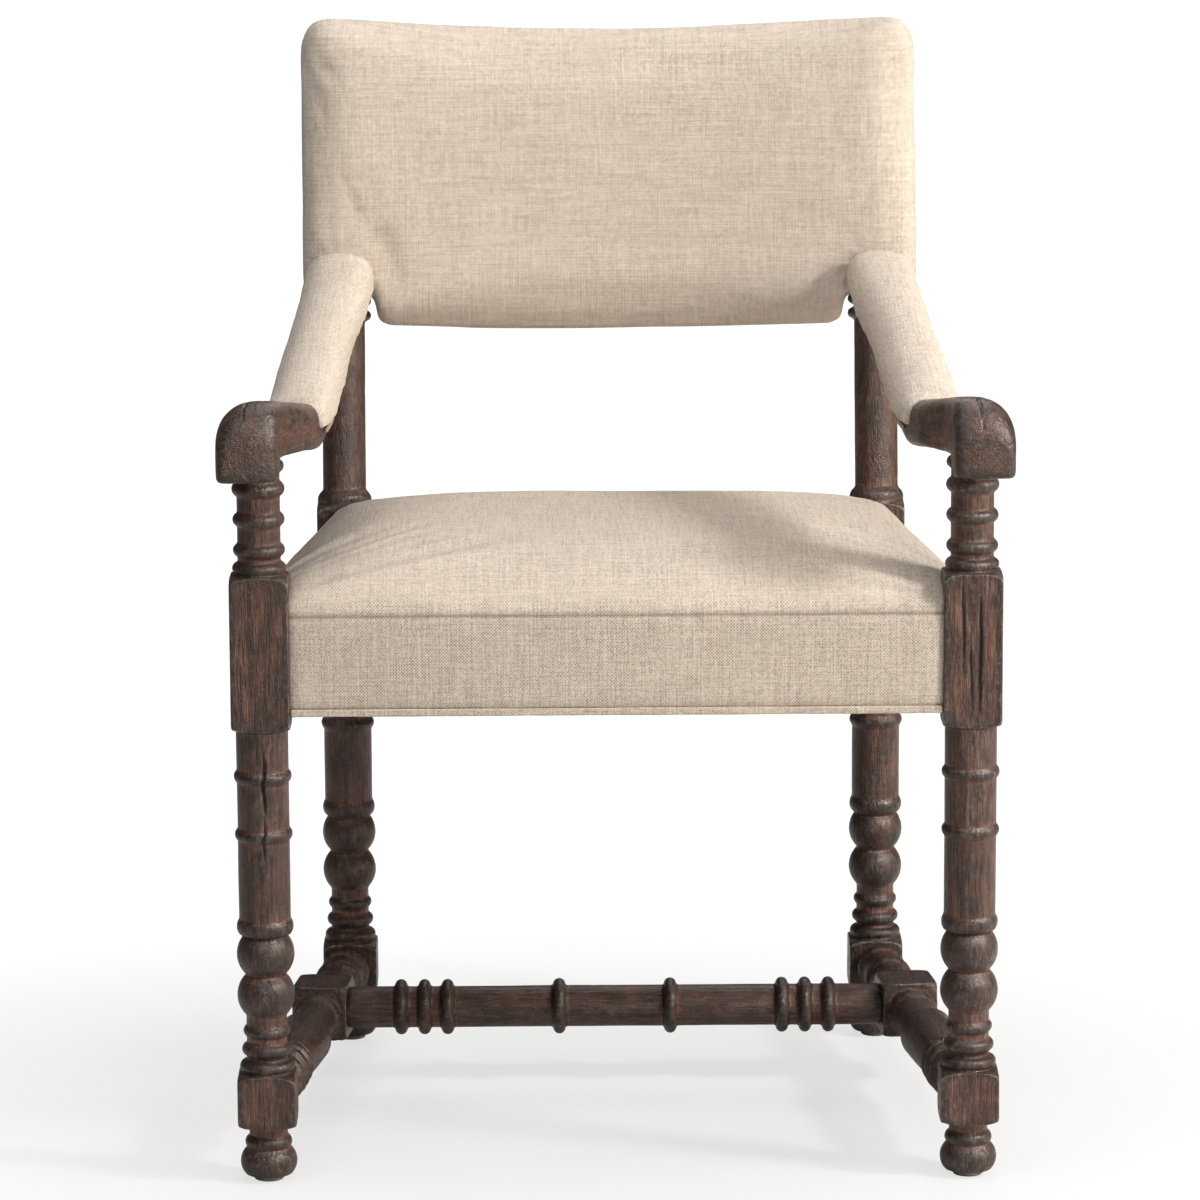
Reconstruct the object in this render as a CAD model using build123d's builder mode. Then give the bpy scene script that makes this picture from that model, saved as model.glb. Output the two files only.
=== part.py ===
from build123d import *
import os
from math import cos, isclose, radians, sin, sqrt

os.makedirs("parts", exist_ok=True)

# An upholstered armchair on turned legs, in millimetres.
# X runs to the right seen from the front, Y to the back and Z up.
# The origin is on the floor, in the middle of the chair's outline.
# Left pieces stand at -X and are mirrored about the YZ plane for the right.

# Clearances, and how far a cut runs past the face it leaves
tenon_gap = 0.1
soft_gap = 0.3
overrun = 1.0

# Stance of the legs
front_leg_x = 308.5
rear_leg_x = 253.4
leg_spacing = 480.0
leg_stock = 51.0
stock_edge = 1.5
rake = 9.0

# Turnings that all four legs share, from the floor up
glide_height = 5.0
glide_radius = 13.0
bun_height = 23.0
foot_ring_height = 12.0
ankle_height = 10.0
ankle_radius = 17.0
low_block_height = 47.5
collar_height = 52.0
collar_neck_radius = 17.8
ball_neck_radius = 18.0
ball_gap = 1.0
turning_skim = 0.1
ball_ring_height = 13.6
shaft_height = 170.2
shaft_radius = 22.7
shaft_ring_height = 10.2
shoulder_round = 11.5

# Above the seat block, on the front leg
front_block_height = 135.6
arm_post_height = 104.0
arm_post_radius = 18.7
post_tenon_radius = 12.0
post_tenon_length = 18.0

# Above the seat block, on the rear leg, measured along the raked axis
rear_block_height = 118.6
base_ring_height = 12.0
column_radius = 20.4
column_height = 173.0
column_ring_height = 10.2
column_ring_radius = 26.5
column_ring_pitch = 13.7
post_head_stock = 38.0
post_head_end = 26.0
back_wrap = 8.0

# Stretchers
stretcher_height = 73.7
stretcher_tenon_radius = 12.0
stretcher_tenon_length = 16.0
side_neck_radius = 19.0
side_block_length = 53.0
side_block_place_share = 0.646
cross_radius = 19.2
cross_ring_height = 11.5
cross_ring_radius = 25.9

# Seat rails
rail_thickness = 25.0
rail_depth = 63.0
rail_tenon_thickness = 10.0
rail_tenon_depth = 42.0
rail_tenon_length = 18.0
corner_block_leg = 60.0
corner_block_depth = 30.0
screw_radius = 2.0
screw_head_radius = 4.0
screw_length = 26.0
screw_bite = 14.0

# Seat upholstery
seat_bottom = 419.0
welt_height = 7.0
welt_proud = 0.6
seat_seam_height = 507.0
seat_crown = 47.0
seat_front_inset = 2.5
seat_side_offset = 12.0
seat_rear_inset = 7.5
cloth = 2.2
rail_padding = 1.3
webbing_width = 50.0
webbing_thickness = 2.0
webbing_margin = 6.0
hessian_thickness = 1.0
dust_cover_thickness = 1.0

# Back upholstery, measured along the raked axis from the top of the rear seat block
back_bottom = 170.0
back_top = 460.0
back_half_width = 291.0
back_tongue_gap = 4.5
back_thickness = 62.0
back_front = 40.0
back_hollow = 18.0
back_edge_round = 18.0
back_under_round = 8.0
back_sag = 5.0
tongue_corner = 10.0
outer_panel_rim = 6.0
back_rail_thickness = 38.0
back_rail_depth = 52.0
back_rail_tenon_thickness = 10.0
back_rail_tenon_depth = 22.0
back_rail_tenon_length = 14.0

# Arms and their pads
hand_reach = 66.0
hand_offset = 6.0
hand_width = 55.0
hand_height = 70.0
arm_rise = 78.0
arm_tenon_width = 20.0
arm_tenon_depth = 16.0
arm_tenon_length = 10.0
bolt_radius = 3.0
bolt_head_radius = 6.0
bolt_head_height = 3.0
bolt_bite = 26.0
pad_width = 60.0
pad_thickness = 15.0
pad_reveal = 6.0
trim_width = 2.6
trim_height = 4.0

# Glide nails
nail_radius = 1.2
nail_head_radius = 4.0
nail_head_height = 1.5
nail_length = 18.0

# Shares that the outlines below are drawn from
quarter_arc_share = 1 - sqrt(0.5)
bun_radius_share = 0.98
bun_face_share = 0.80
foot_ring_radius_share = 0.815
collar_place_shares = (0.105, 0.40, 0.72)
collar_height_shares = (0.21, 0.218, 0.18)
collar_radius_shares = (0.95, 0.87, 0.81)
ball_ring_radius_share = 0.98
shaft_ring_place_shares = (0.445, 0.749)
shaft_ring_radius_share = 0.992
arm_post_place_shares = (0.053, 0.207, 0.465, 0.721, 0.911)
arm_post_height_shares = (0.106, 0.106, 0.11, 0.12, 0.10)
arm_post_radius_shares = (0.925, 0.886, 0.886, 0.902, 0.89)
base_ring_radius_share = 0.988
side_front_place_shares = (0.14, 0.22, 0.295)
side_front_height_shares = (0.046, 0.046, 0.04)
side_front_radius_shares = (0.92, 0.96, 0.94)
side_barrel_shares = (0.34, 0.655)
side_barrel_radius_shares = (0.84, 0.985)
side_collar_place_share = 0.94
side_collar_height_share = 0.052
side_rear_place_shares = (0.115, 0.56, 0.90)
side_rear_height_share = 0.12
side_ring_radius_share = 0.90
cross_ring_place_shares = (0.732, 0.652, 0.573, 0.190)
crown_height_shares = (0, 0.11, 0.22, 0.34, 0.46, 0.58, 0.69, 0.79, 0.87, 0.93, 0.97, 1)
crown_front_shares = (0, 0.021, 0.048, 0.086, 0.132, 0.188, 0.249, 0.321, 0.414, 0.541, 0.741, 1)
crown_side_shares = (0, 0.023, 0.053, 0.093, 0.143, 0.206, 0.282, 0.377, 0.475, 0.593, 0.773, 1)
crown_rear_shares = (0, 0.024, 0.053, 0.089, 0.14, 0.221, 0.335, 0.493, 0.614, 0.725, 0.857, 1)
crown_corner_shares = (0.04, 0.12, 0.24, 0.37, 0.51, 0.64, 0.76, 0.86, 0.92, 0.96, 0.98, 1)
crown_edge_reach = 100.0
crown_rear_reach = 200.0
crown_corner_round = 98.0
webbing_place_shares = (-0.75, -0.375, 0, 0.375, 0.75)
back_half_station_shares = (0, 0.15, 0.3, 0.45, 0.6, 0.75, 0.88, 0.94, 0.965, 0.985, 1)
back_dip_shares = (0.03, 0.029, 0.026, 0.021, 0.014, 0.006, 0, 0.008, 0.022, 0.05, 0.13)
back_slim_shares = (0, 0, 0, 0, 0, 0, 0.02, 0.10, 0.20, 0.34, 0.56)
back_web_place_shares = (-0.5, 0, 0.5)
outer_panel_share = 0.95
pad_round_share = 0.36
pad_width_shares = (1.08, 1.04, 0.97, 1.0, 1.0, 0.96)
pad_thickness_shares = (1, 1, 1, 1, 0.60, 0.22)
pad_reveal_shares = (1, 1, 1, 1.2, 1.9, 3.2)
pad_edge_share = 0.03

# Each arm station: place (share of the leg spacing), outward (share of the arm's splay), underside (share of
# the arm's rise), depth and width (shares of the hand's), and the outer top, inner top and lower rounds (of
# its width)
arm_station_shares = (
    (1.083, 0.0, 1.10, 0.40, 0.836, 0.18, 0.18, 0.07),
    (0.833, 0.07, 0.795, 0.40, 0.836, 0.18, 0.18, 0.07),
    (0.625, 0.19, 0.54, 0.40, 0.836, 0.18, 0.18, 0.07),
    (0.396, 0.28, 0.256, 0.42, 0.836, 0.18, 0.18, 0.09),
    (0.221, 0.34, 0.05, 0.50, 0.873, 0.24, 0.24, 0.16),
    (0.121, 0.42, -0.064, 0.591, 0.945, 0.30, 0.30, 0.24),
    (0.054, 0.60, -0.006, 0.606, 0.98, 0.36, 0.32, 0.10),
)
# The hand's stations: the place is a share of the hand's reach ahead of the leg
hand_station_shares = (
    (0.12, 0.93, -0.006, 0.699, 1.0, 0.52, 0.22, 0.06),
    (0.40, 1.0, -0.006, 0.734, 1.0, 0.60, 0.18, 0.06),
    (0.62, 1.0, -0.13, 0.864, 1.0, 0.62, 0.18, 0.06),
    (0.82, 1.0, -0.205, 0.863, 0.98, 0.58, 0.18, 0.06),
    (0.95, 1.0, -0.19, 0.645, 0.93, 0.42, 0.18, 0.06),
    (1.0, 1.0, -0.14, 0.42, 0.84, 0.30, 0.18, 0.06),
)

# Places worked out from the sizes above
half_stock = leg_stock / 2
stock_reach = half_stock * sqrt(2) + overrun
lean = radians(rake)
bun_top = glide_height + bun_height
low_block_low = bun_top + foot_ring_height + ankle_height
low_block_top = low_block_low + low_block_height
collar_top = low_block_top + collar_height
ball_radius = half_stock - turning_skim
ball_cut = sqrt(ball_radius**2 - ball_neck_radius**2)
lower_ball_top = collar_top + 2 * ball_cut
upper_ball_low = lower_ball_top + ball_gap
upper_ball_top = upper_ball_low + 2 * ball_cut
shaft_low = upper_ball_top + ball_ring_height
seat_block_low = shaft_low + shaft_height
front_block_top = seat_block_low + front_block_height
rear_block_top = seat_block_low + rear_block_height
arm_seat = front_block_top + arm_post_height

back_rear = back_thickness - back_front
back_crest = back_dip_shares[0] * (back_top - back_bottom)
back_reach = (back_rear + back_hollow) * cos(lean) + (back_top - back_crest - back_edge_round) * sin(lean)
overall_depth = hand_reach + leg_spacing + back_reach
front_leg_y = hand_reach - overall_depth / 2
rear_leg_y = front_leg_y + leg_spacing
taper = (front_leg_x - rear_leg_x) / leg_spacing
taper_secant = sqrt(1 + taper**2)

rake_forward = Vector(0, cos(lean), -sin(lean))
rake_up = Vector(0, sin(lean), cos(lean))
back_origin = Vector(0, rear_leg_y, rear_block_top)
back_plane = Plane(origin=back_origin, x_dir=(1, 0, 0), z_dir=rake_up)
ring_a = column_height + column_ring_height / 2
ring_b = ring_a + column_ring_pitch
head_low = ring_b + column_ring_height / 2
head_top = back_top - post_head_end
head_half = post_head_stock / 2


def side_x(y, offset):
    """Distance from the middle plane to the line over the side's leg axes, moved outwards by offset."""
    return front_leg_x - (y - front_leg_y) * taper + offset * taper_secant


def hollow_at(x):
    """How far the hollow back lies behind its edges at x."""
    return back_hollow * (1 - (x / back_half_width) ** 2)


def draw_turning(marks):
    """Draw a turned half outline from the axis, through its marks, back to the axis.

    A mark is (radius, height), reached by a line, or (radius, height, via radius, via height), by an arc.
    """
    at = (0, marks[0][1])
    for mark, following in zip(marks, [*marks[1:], (0, marks[-1][1])]):
        if isclose(at[1], mark[1]) and isclose(mark[1], following[1]) and len(following) == 2:
            continue
        end = mark[:2]
        if len(mark) == 2:
            Line(at, end)
        else:
            ThreePointArc(at, mark[2:], end)
        at = end
    Line(at, (0, at[1]))
    Line((0, at[1]), (0, marks[0][1]))


def bead(low, high, base, crest):
    """A turned bead on a base radius, with a straight shoulder where it stands out past a half round."""
    middle = (low + high) / 2
    shoulder = crest - (high - low) / 2
    if shoulder > base:
        return [(base, low), (shoulder, low), (shoulder, high, crest, middle), (base, high)]
    return [(base, low), (base, high, crest, middle)]


def beads(low, height, base, places, heights, crests):
    """Beads at shares of a turned length."""
    marks = []
    for place, share, crest in zip(places, heights, crests):
        middle = low + place * height
        marks += bead(middle - share * height / 2, middle + share * height / 2, base, crest * half_stock)
    return marks


def block(low, high):
    """The outline over a square block, whose corners are turned off at both ends."""
    inner = stock_reach - shoulder_round
    near = shoulder_round * quarter_arc_share
    return [
        (inner, low),
        (stock_reach, low + shoulder_round, stock_reach - near, low + near),
        (stock_reach, high - shoulder_round),
        (inner, high, stock_reach - near, high - near),
    ]


def rake_point(x, v, w):
    """The point at x, v behind the raked axis and w up along it."""
    return back_origin + Vector(x, 0, 0) + rake_forward * v + rake_up * w


def back_side_plane(x):
    """The upright plane at x in which the back's outline is (v, w)."""
    return Plane(origin=back_origin + Vector(x, 0, 0), x_dir=rake_forward, z_dir=(1, 0, 0))


# The lower turnings, from the bottom of the bun foot to the bottom of the seat block
lower_turning = [
    (bun_face_share * half_stock, glide_height),
    (bun_face_share * half_stock, bun_top, bun_radius_share * half_stock, (glide_height + bun_top) / 2),
    *bead(bun_top, bun_top + foot_ring_height, ankle_radius, foot_ring_radius_share * half_stock),
    (ankle_radius, low_block_low),
    *block(low_block_low, low_block_top),
    *beads(
        low_block_top,
        collar_height,
        collar_neck_radius,
        collar_place_shares,
        collar_height_shares,
        collar_radius_shares,
    ),
    (collar_neck_radius, collar_top),
    (ball_neck_radius, collar_top),
    (ball_neck_radius, lower_ball_top, ball_radius, collar_top + ball_cut),
    (ball_neck_radius, upper_ball_low),
    (ball_neck_radius, upper_ball_top, ball_radius, upper_ball_low + ball_cut),
    *bead(upper_ball_top, shaft_low, shaft_radius, ball_ring_radius_share * half_stock),
]
for place_share in shaft_ring_place_shares:
    ring_middle = shaft_low + place_share * shaft_height
    lower_turning += bead(
        ring_middle - shaft_ring_height / 2,
        ring_middle + shaft_ring_height / 2,
        shaft_radius,
        shaft_ring_radius_share * half_stock,
    )
lower_turning.append((shaft_radius, seat_block_low))

# Mortises: each is cut from the leg at the size of its tenon plus the tenon gap
nail_hole_top = glide_height + nail_length + overrun
front_axis = Axis((-front_leg_x, front_leg_y, 0), (0, 0, 1))
rear_axis = Axis((-rear_leg_x, rear_leg_y, 0), (0, 0, 1))
stretcher_run = Vector(front_leg_x - rear_leg_x, leg_spacing, 0)
stretcher_start = Vector(-front_leg_x, front_leg_y, stretcher_height)
stretcher_end = Vector(-rear_leg_x, rear_leg_y, stretcher_height)
stretcher_plane = Plane(origin=stretcher_start, x_dir=(0, 0, 1), z_dir=stretcher_run)
tenon_reach = (half_stock - stretcher_tenon_length) * taper_secant
stretcher_length = leg_spacing * taper_secant

rail_low = seat_bottom + dust_cover_thickness
rail_top = rail_low + rail_depth
rail_middle = (rail_low + rail_top) / 2
skin = cloth + rail_padding
front_rail_front = front_leg_y - half_stock + seat_front_inset + skin
front_rail_middle = front_rail_front + rail_thickness / 2
rear_rail_rear = rear_leg_y + half_stock - seat_rear_inset - skin
rear_rail_middle = rear_rail_rear - rail_thickness / 2
side_rail_outer = seat_side_offset - skin
side_rail_middle = side_rail_outer - rail_thickness / 2
front_block_rear = front_leg_y + half_stock
rear_block_front = rear_leg_y - half_stock
front_block_inner = front_leg_x - half_stock
rear_block_inner = rear_leg_x - half_stock
grown_tenon = (rail_tenon_thickness + 2 * tenon_gap, rail_tenon_depth + 2 * tenon_gap)
front_side_tenon_x = side_x(front_block_rear, side_rail_middle)
rear_side_tenon_x = side_x(rear_block_front, side_rail_middle)

front_turning = lower_turning + block(seat_block_low, front_block_top)
front_turning += beads(
    front_block_top,
    arm_post_height,
    arm_post_radius,
    arm_post_place_shares,
    arm_post_height_shares,
    arm_post_radius_shares,
)
front_turning += [
    (arm_post_radius, arm_seat),
    (post_tenon_radius, arm_seat),
    (post_tenon_radius, arm_seat + post_tenon_length),
]

# Front legs
with BuildPart() as front_leg_left:
    with BuildSketch(Plane((-front_leg_x, front_leg_y, glide_height))):
        RectangleRounded(leg_stock, leg_stock, stock_edge)
    extrude(amount=arm_seat + post_tenon_length)
    with BuildSketch(Plane((-front_leg_x, front_leg_y, 0), x_dir=(1, 0, 0), z_dir=(0, -1, 0))):
        with BuildLine():
            draw_turning(front_turning)
        make_face()
    revolve(axis=front_axis, mode=Mode.INTERSECT)
    with BuildSketch(Plane((-front_leg_x, front_leg_y, glide_height))):
        Circle(nail_radius + tenon_gap)
    extrude(amount=nail_length + overrun, mode=Mode.SUBTRACT)
    with BuildSketch(stretcher_plane.offset(tenon_reach - soft_gap)):
        Circle(stretcher_tenon_radius + tenon_gap)
    extrude(amount=stretcher_tenon_length + half_stock, mode=Mode.SUBTRACT)
    with BuildSketch(Plane((-front_block_inner, front_rail_middle, rail_middle), x_dir=(0, 1, 0), z_dir=(-1, 0, 0))):
        Rectangle(*grown_tenon)
    extrude(amount=rail_tenon_length + soft_gap, mode=Mode.SUBTRACT)
    with BuildSketch(Plane((-front_side_tenon_x, front_block_rear, rail_middle), x_dir=(1, 0, 0), z_dir=(0, -1, 0))):
        Rectangle(*grown_tenon)
    extrude(amount=rail_tenon_length + soft_gap, mode=Mode.SUBTRACT)
front_leg_left.part.label = "front_leg_left"
export_step(front_leg_left.part, "parts/front_leg_left.step")

with BuildPart() as front_leg_right:
    mirror(front_leg_left.part, about=Plane.YZ)
front_leg_right.part.label = "front_leg_right"
export_step(front_leg_right.part, "parts/front_leg_right.step")

# Rear legs: a straight post to the seat block, and a raked turned column with a square head above it
upper_turning = [
    (base_ring_radius_share * half_stock, -base_ring_height / 2),
    (base_ring_radius_share * half_stock, 0),
    (column_radius, base_ring_height, base_ring_radius_share * half_stock, base_ring_height / 2),
    *bead(ring_a - column_ring_height / 2, ring_a + column_ring_height / 2, column_radius, column_ring_radius),
    *bead(ring_b - column_ring_height / 2, ring_b + column_ring_height / 2, column_radius, column_ring_radius),
    (column_radius, head_low),
]
rear_turning = lower_turning + block(seat_block_low, rear_block_top)
head_front_plane = Plane(origin=rake_point(-rear_leg_x, -head_half, 0), x_dir=(-1, 0, 0), z_dir=rake_forward)
top_rail_low = head_top - back_rail_depth
bottom_rail_low = back_bottom + back_wrap
bottom_rail_high = bottom_rail_low + back_rail_depth
notch_top = head_low + overrun
back_tenon_places = ((top_rail_low + head_top) / 2, (notch_top + bottom_rail_high) / 2)
cavity_front = -head_half - soft_gap - hollow_at(rear_leg_x + head_half)
back_rail_front = cavity_front + webbing_thickness
back_rail_rear = back_rail_front + back_rail_thickness
head_inner = rear_leg_x - head_half
back_rail_centre = (back_rail_front + back_rail_rear) / 2 + hollow_at(head_inner)
arm_timber_depth = arm_station_shares[0][3] * hand_height
arm_joint = head_low + overrun + arm_timber_depth / 2
bolt_length = post_head_stock + bolt_bite

with BuildPart() as rear_leg_left:
    with BuildSketch(Plane((-rear_leg_x, rear_leg_y, glide_height))):
        RectangleRounded(leg_stock, leg_stock, stock_edge)
    extrude(amount=rear_block_top - glide_height)
    with BuildSketch(Plane((-rear_leg_x, rear_leg_y, 0), x_dir=(1, 0, 0), z_dir=(0, -1, 0))):
        with BuildLine():
            draw_turning(rear_turning)
        make_face()
    revolve(axis=rear_axis, mode=Mode.INTERSECT)
    with BuildSketch(Plane(rake_point(-rear_leg_x, 0, 0), x_dir=(1, 0, 0), z_dir=-rake_forward)):
        with BuildLine():
            draw_turning(upper_turning)
        make_face()
    revolve(axis=Axis(rake_point(-rear_leg_x, 0, 0), rake_up))
    with BuildSketch(Plane(rake_point(-rear_leg_x, 0, head_low), x_dir=(1, 0, 0), z_dir=rake_up)):
        RectangleRounded(post_head_stock, post_head_stock, stock_edge)
    extrude(amount=head_top - head_low)
    with BuildSketch(Plane((-rear_leg_x, rear_leg_y, glide_height))):
        Circle(nail_radius + tenon_gap)
    extrude(amount=nail_length + overrun, mode=Mode.SUBTRACT)
    with BuildSketch(stretcher_plane.offset(stretcher_length - tenon_reach + soft_gap)):
        Circle(stretcher_tenon_radius + tenon_gap)
    extrude(amount=-stretcher_tenon_length - half_stock, mode=Mode.SUBTRACT)
    with BuildSketch(Plane((-rear_block_inner, rear_rail_middle, rail_middle), x_dir=(0, 1, 0), z_dir=(-1, 0, 0))):
        Rectangle(*grown_tenon)
    extrude(amount=rail_tenon_length + soft_gap, mode=Mode.SUBTRACT)
    with BuildSketch(Plane((-rear_side_tenon_x, rear_block_front, rail_middle), x_dir=(1, 0, 0), z_dir=(0, 1, 0))):
        Rectangle(*grown_tenon)
    extrude(amount=rail_tenon_length + soft_gap, mode=Mode.SUBTRACT)
    for rail_w in back_tenon_places:
        mortise = rake_point(-head_inner, back_rail_centre, rail_w)
        with BuildSketch(Plane(origin=mortise, x_dir=rake_forward, z_dir=(-1, 0, 0))):
            Rectangle(back_rail_tenon_thickness + 2 * tenon_gap, back_rail_tenon_depth + 2 * tenon_gap)
        extrude(amount=back_rail_tenon_length + soft_gap, mode=Mode.SUBTRACT)
    with BuildSketch(head_front_plane):
        with Locations((0, arm_joint)):
            Rectangle(arm_tenon_width + 2 * tenon_gap, arm_tenon_depth + 2 * tenon_gap)
    extrude(amount=arm_tenon_length + soft_gap, mode=Mode.SUBTRACT)
    with BuildSketch(head_front_plane):
        with Locations((0, arm_joint)):
            Circle(bolt_radius + tenon_gap)
    extrude(amount=post_head_stock + overrun, mode=Mode.SUBTRACT)
rear_leg_left.part.label = "rear_leg_left"
export_step(rear_leg_left.part, "parts/rear_leg_left.step")

with BuildPart() as rear_leg_right:
    mirror(rear_leg_left.part, about=Plane.YZ)
rear_leg_right.part.label = "rear_leg_right"
export_step(rear_leg_right.part, "parts/rear_leg_right.step")

# Side stretchers: turned between their square blocks, and cut off flat against the legs' blocks
side_block_middle = side_block_place_share * stretcher_length
side_block_low = side_block_middle - side_block_length / 2
side_block_high = side_block_middle + side_block_length / 2
front_face = half_stock * taper_secant
front_run = side_block_low - front_face
rear_face = stretcher_length - front_face
rear_run = rear_face - side_block_high
barrel_low = front_face + side_barrel_shares[0] * front_run
barrel_high = front_face + side_barrel_shares[1] * front_run
barrel_edge = side_barrel_radius_shares[0] * half_stock
barrel_crest = side_barrel_radius_shares[1] * half_stock
barrel_lip = side_collar_height_share * front_run / 2

side_turning = [(side_neck_radius, front_face - stretcher_tenon_length)]
side_turning += beads(
    front_face,
    front_run,
    side_neck_radius,
    side_front_place_shares,
    side_front_height_shares,
    side_front_radius_shares,
)
side_turning += [
    (side_neck_radius, barrel_low),
    (barrel_edge, barrel_low),
    (barrel_crest, barrel_high, (barrel_edge + 2 * barrel_crest) / 3, (barrel_low + barrel_high) / 2),
    (side_neck_radius, barrel_high + barrel_lip, barrel_crest, barrel_high + barrel_lip / 2),
]
side_turning += beads(
    front_face,
    front_run,
    side_neck_radius,
    (side_collar_place_share,),
    (side_collar_height_share,),
    (side_ring_radius_share,),
)
side_turning.append((side_neck_radius, side_block_low))
side_turning += block(side_block_low, side_block_high)
side_turning.append((side_neck_radius, side_block_high))
side_turning += beads(
    side_block_high,
    rear_run,
    side_neck_radius,
    side_rear_place_shares,
    (side_rear_height_share,) * len(side_rear_place_shares),
    (side_ring_radius_share,) * len(side_rear_place_shares),
)
side_turning.append((side_neck_radius, rear_face + stretcher_tenon_length))

cross_point = stretcher_start + stretcher_run.normalized() * side_block_middle
block_inward = stretcher_run.normalized().cross(Vector(0, 0, 1))
block_inner_plane = Plane(origin=cross_point + block_inward * half_stock, x_dir=(0, 0, 1), z_dir=block_inward)
cross_tenon_plane = Plane(origin=cross_point, x_dir=(0, 0, 1), z_dir=(1, 0, 0))
cross_tenon_start = half_stock - stretcher_tenon_length

with BuildPart() as side_stretcher_left:
    with BuildSketch(stretcher_plane.offset(front_face - stretcher_tenon_length)):
        RectangleRounded(leg_stock, leg_stock, stock_edge)
    extrude(amount=rear_face - front_face + 2 * stretcher_tenon_length)
    with BuildSketch(Plane(origin=stretcher_start, x_dir=(0, 0, 1), z_dir=-block_inward)):
        with BuildLine():
            draw_turning(side_turning)
        make_face()
    revolve(axis=Axis(stretcher_start, stretcher_run), mode=Mode.INTERSECT)
    split(bisect_by=Plane((0, front_block_rear, 0), z_dir=(0, 1, 0)))
    split(bisect_by=Plane((0, rear_block_front, 0), z_dir=(0, -1, 0)))
    with BuildSketch(stretcher_plane.offset(tenon_reach)):
        Circle(stretcher_tenon_radius)
    extrude(amount=stretcher_length - 2 * tenon_reach)
    with BuildSketch(cross_tenon_plane.offset(cross_tenon_start - soft_gap)):
        Circle(stretcher_tenon_radius + tenon_gap)
    extrude(amount=leg_stock, mode=Mode.SUBTRACT)
side_stretcher_left.part.label = "side_stretcher_left"
export_step(side_stretcher_left.part, "parts/side_stretcher_left.step")

with BuildPart() as side_stretcher_right:
    mirror(side_stretcher_left.part, about=Plane.YZ)
side_stretcher_right.part.label = "side_stretcher_right"
export_step(side_stretcher_right.part, "parts/side_stretcher_right.step")

# Cross stretcher: a turned rod with rings in two threes and a middle pair, cut off against the side blocks
cross_half = -cross_point.X - half_stock
cross_turning = [(cross_radius, -cross_half - half_stock)]
for cross_share in [-share for share in cross_ring_place_shares] + list(reversed(cross_ring_place_shares)):
    ring_at = cross_share * -cross_point.X
    cross_turning += bead(
        ring_at - cross_ring_height / 2, ring_at + cross_ring_height / 2, cross_radius, cross_ring_radius
    )
cross_turning.append((cross_radius, cross_half + half_stock))
cross_middle = Vector(0, cross_point.Y, cross_point.Z)

with BuildPart() as cross_stretcher:
    with BuildSketch(Plane(origin=cross_middle, x_dir=(0, 0, 1), z_dir=(0, 1, 0)).rotated((0, 0, 180))):
        with BuildLine():
            draw_turning(cross_turning)
        make_face()
    revolve(axis=Axis(cross_middle, (1, 0, 0)))
    split(bisect_by=block_inner_plane)
    split(bisect_by=Plane(
        origin=(-block_inner_plane.origin.X, block_inner_plane.origin.Y, block_inner_plane.origin.Z),
        z_dir=(-block_inward.X, block_inward.Y, block_inward.Z),
    ))
    with BuildSketch(cross_tenon_plane.offset(cross_tenon_start)):
        Circle(stretcher_tenon_radius)
    extrude(amount=-2 * (cross_point.X + cross_tenon_start))
cross_stretcher.part.label = "cross_stretcher"
export_step(cross_stretcher.part, "parts/cross_stretcher.step")

# Plastic glides under the feet, each held by a nail moulded into it
leg_places = {
    "front_left": (-front_leg_x, front_leg_y),
    "front_right": (front_leg_x, front_leg_y),
    "rear_left": (-rear_leg_x, rear_leg_y),
    "rear_right": (rear_leg_x, rear_leg_y),
}
glide_edge = glide_height / 5
nail_head_low = glide_height - 2 * nail_head_height
for corner, (leg_x, leg_y) in leg_places.items():
    with BuildPart() as glide:
        with BuildSketch(Plane((leg_x, leg_y, 0))):
            Circle(glide_radius)
        extrude(amount=glide_height)
        fillet(glide.faces().sort_by(Axis.Z)[0].edges(), glide_edge)
        with BuildSketch(Plane((leg_x, leg_y, nail_head_low))):
            Circle(nail_head_radius + tenon_gap)
        extrude(amount=nail_head_height + tenon_gap, mode=Mode.SUBTRACT)
        with BuildSketch(Plane((leg_x, leg_y, nail_head_low))):
            Circle(nail_radius + tenon_gap)
        extrude(amount=glide_height, mode=Mode.SUBTRACT)
    glide.part.label = f"glide_{corner}"
    export_step(glide.part, f"parts/glide_{corner}.step")

with BuildPart() as glide_nails:
    with Locations(*[(leg_x, leg_y, nail_head_low) for leg_x, leg_y in leg_places.values()]):
        Cylinder(nail_head_radius, nail_head_height, align=(Align.CENTER, Align.CENTER, Align.MIN))
        Cylinder(nail_radius, nail_length, align=(Align.CENTER, Align.CENTER, Align.MIN))
glide_nails.part.label = "glide_nails"
export_step(glide_nails.part, "parts/glide_nails.step")

# Seat rails, tenoned into the leg blocks; the cross-grain of the side rails follows the legs' taper
rail_plane = Plane((0, 0, rail_low))
rail_tenon_plane = Plane((0, 0, rail_middle - rail_tenon_depth / 2))


def block_screw_holes(radius, spread):
    """Cut the corner blocks' screw holes, radius wide at the shank and spread wide at the head."""
    for start, way in screw_places:
        for size, reach in ((radius, screw_length + overrun), (spread, -corner_block_leg)):
            with BuildSketch(Plane(origin=start, z_dir=way)) as hole:
                Circle(size)
            extrude(hole.sketch, amount=reach, mode=Mode.SUBTRACT)


front_rail_inner = front_rail_front + rail_thickness
rear_rail_inner = rear_rail_rear - rail_thickness
side_inner_offset = side_rail_outer - rail_thickness
screw_height = rail_middle
screw_step = corner_block_leg / 2

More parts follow.
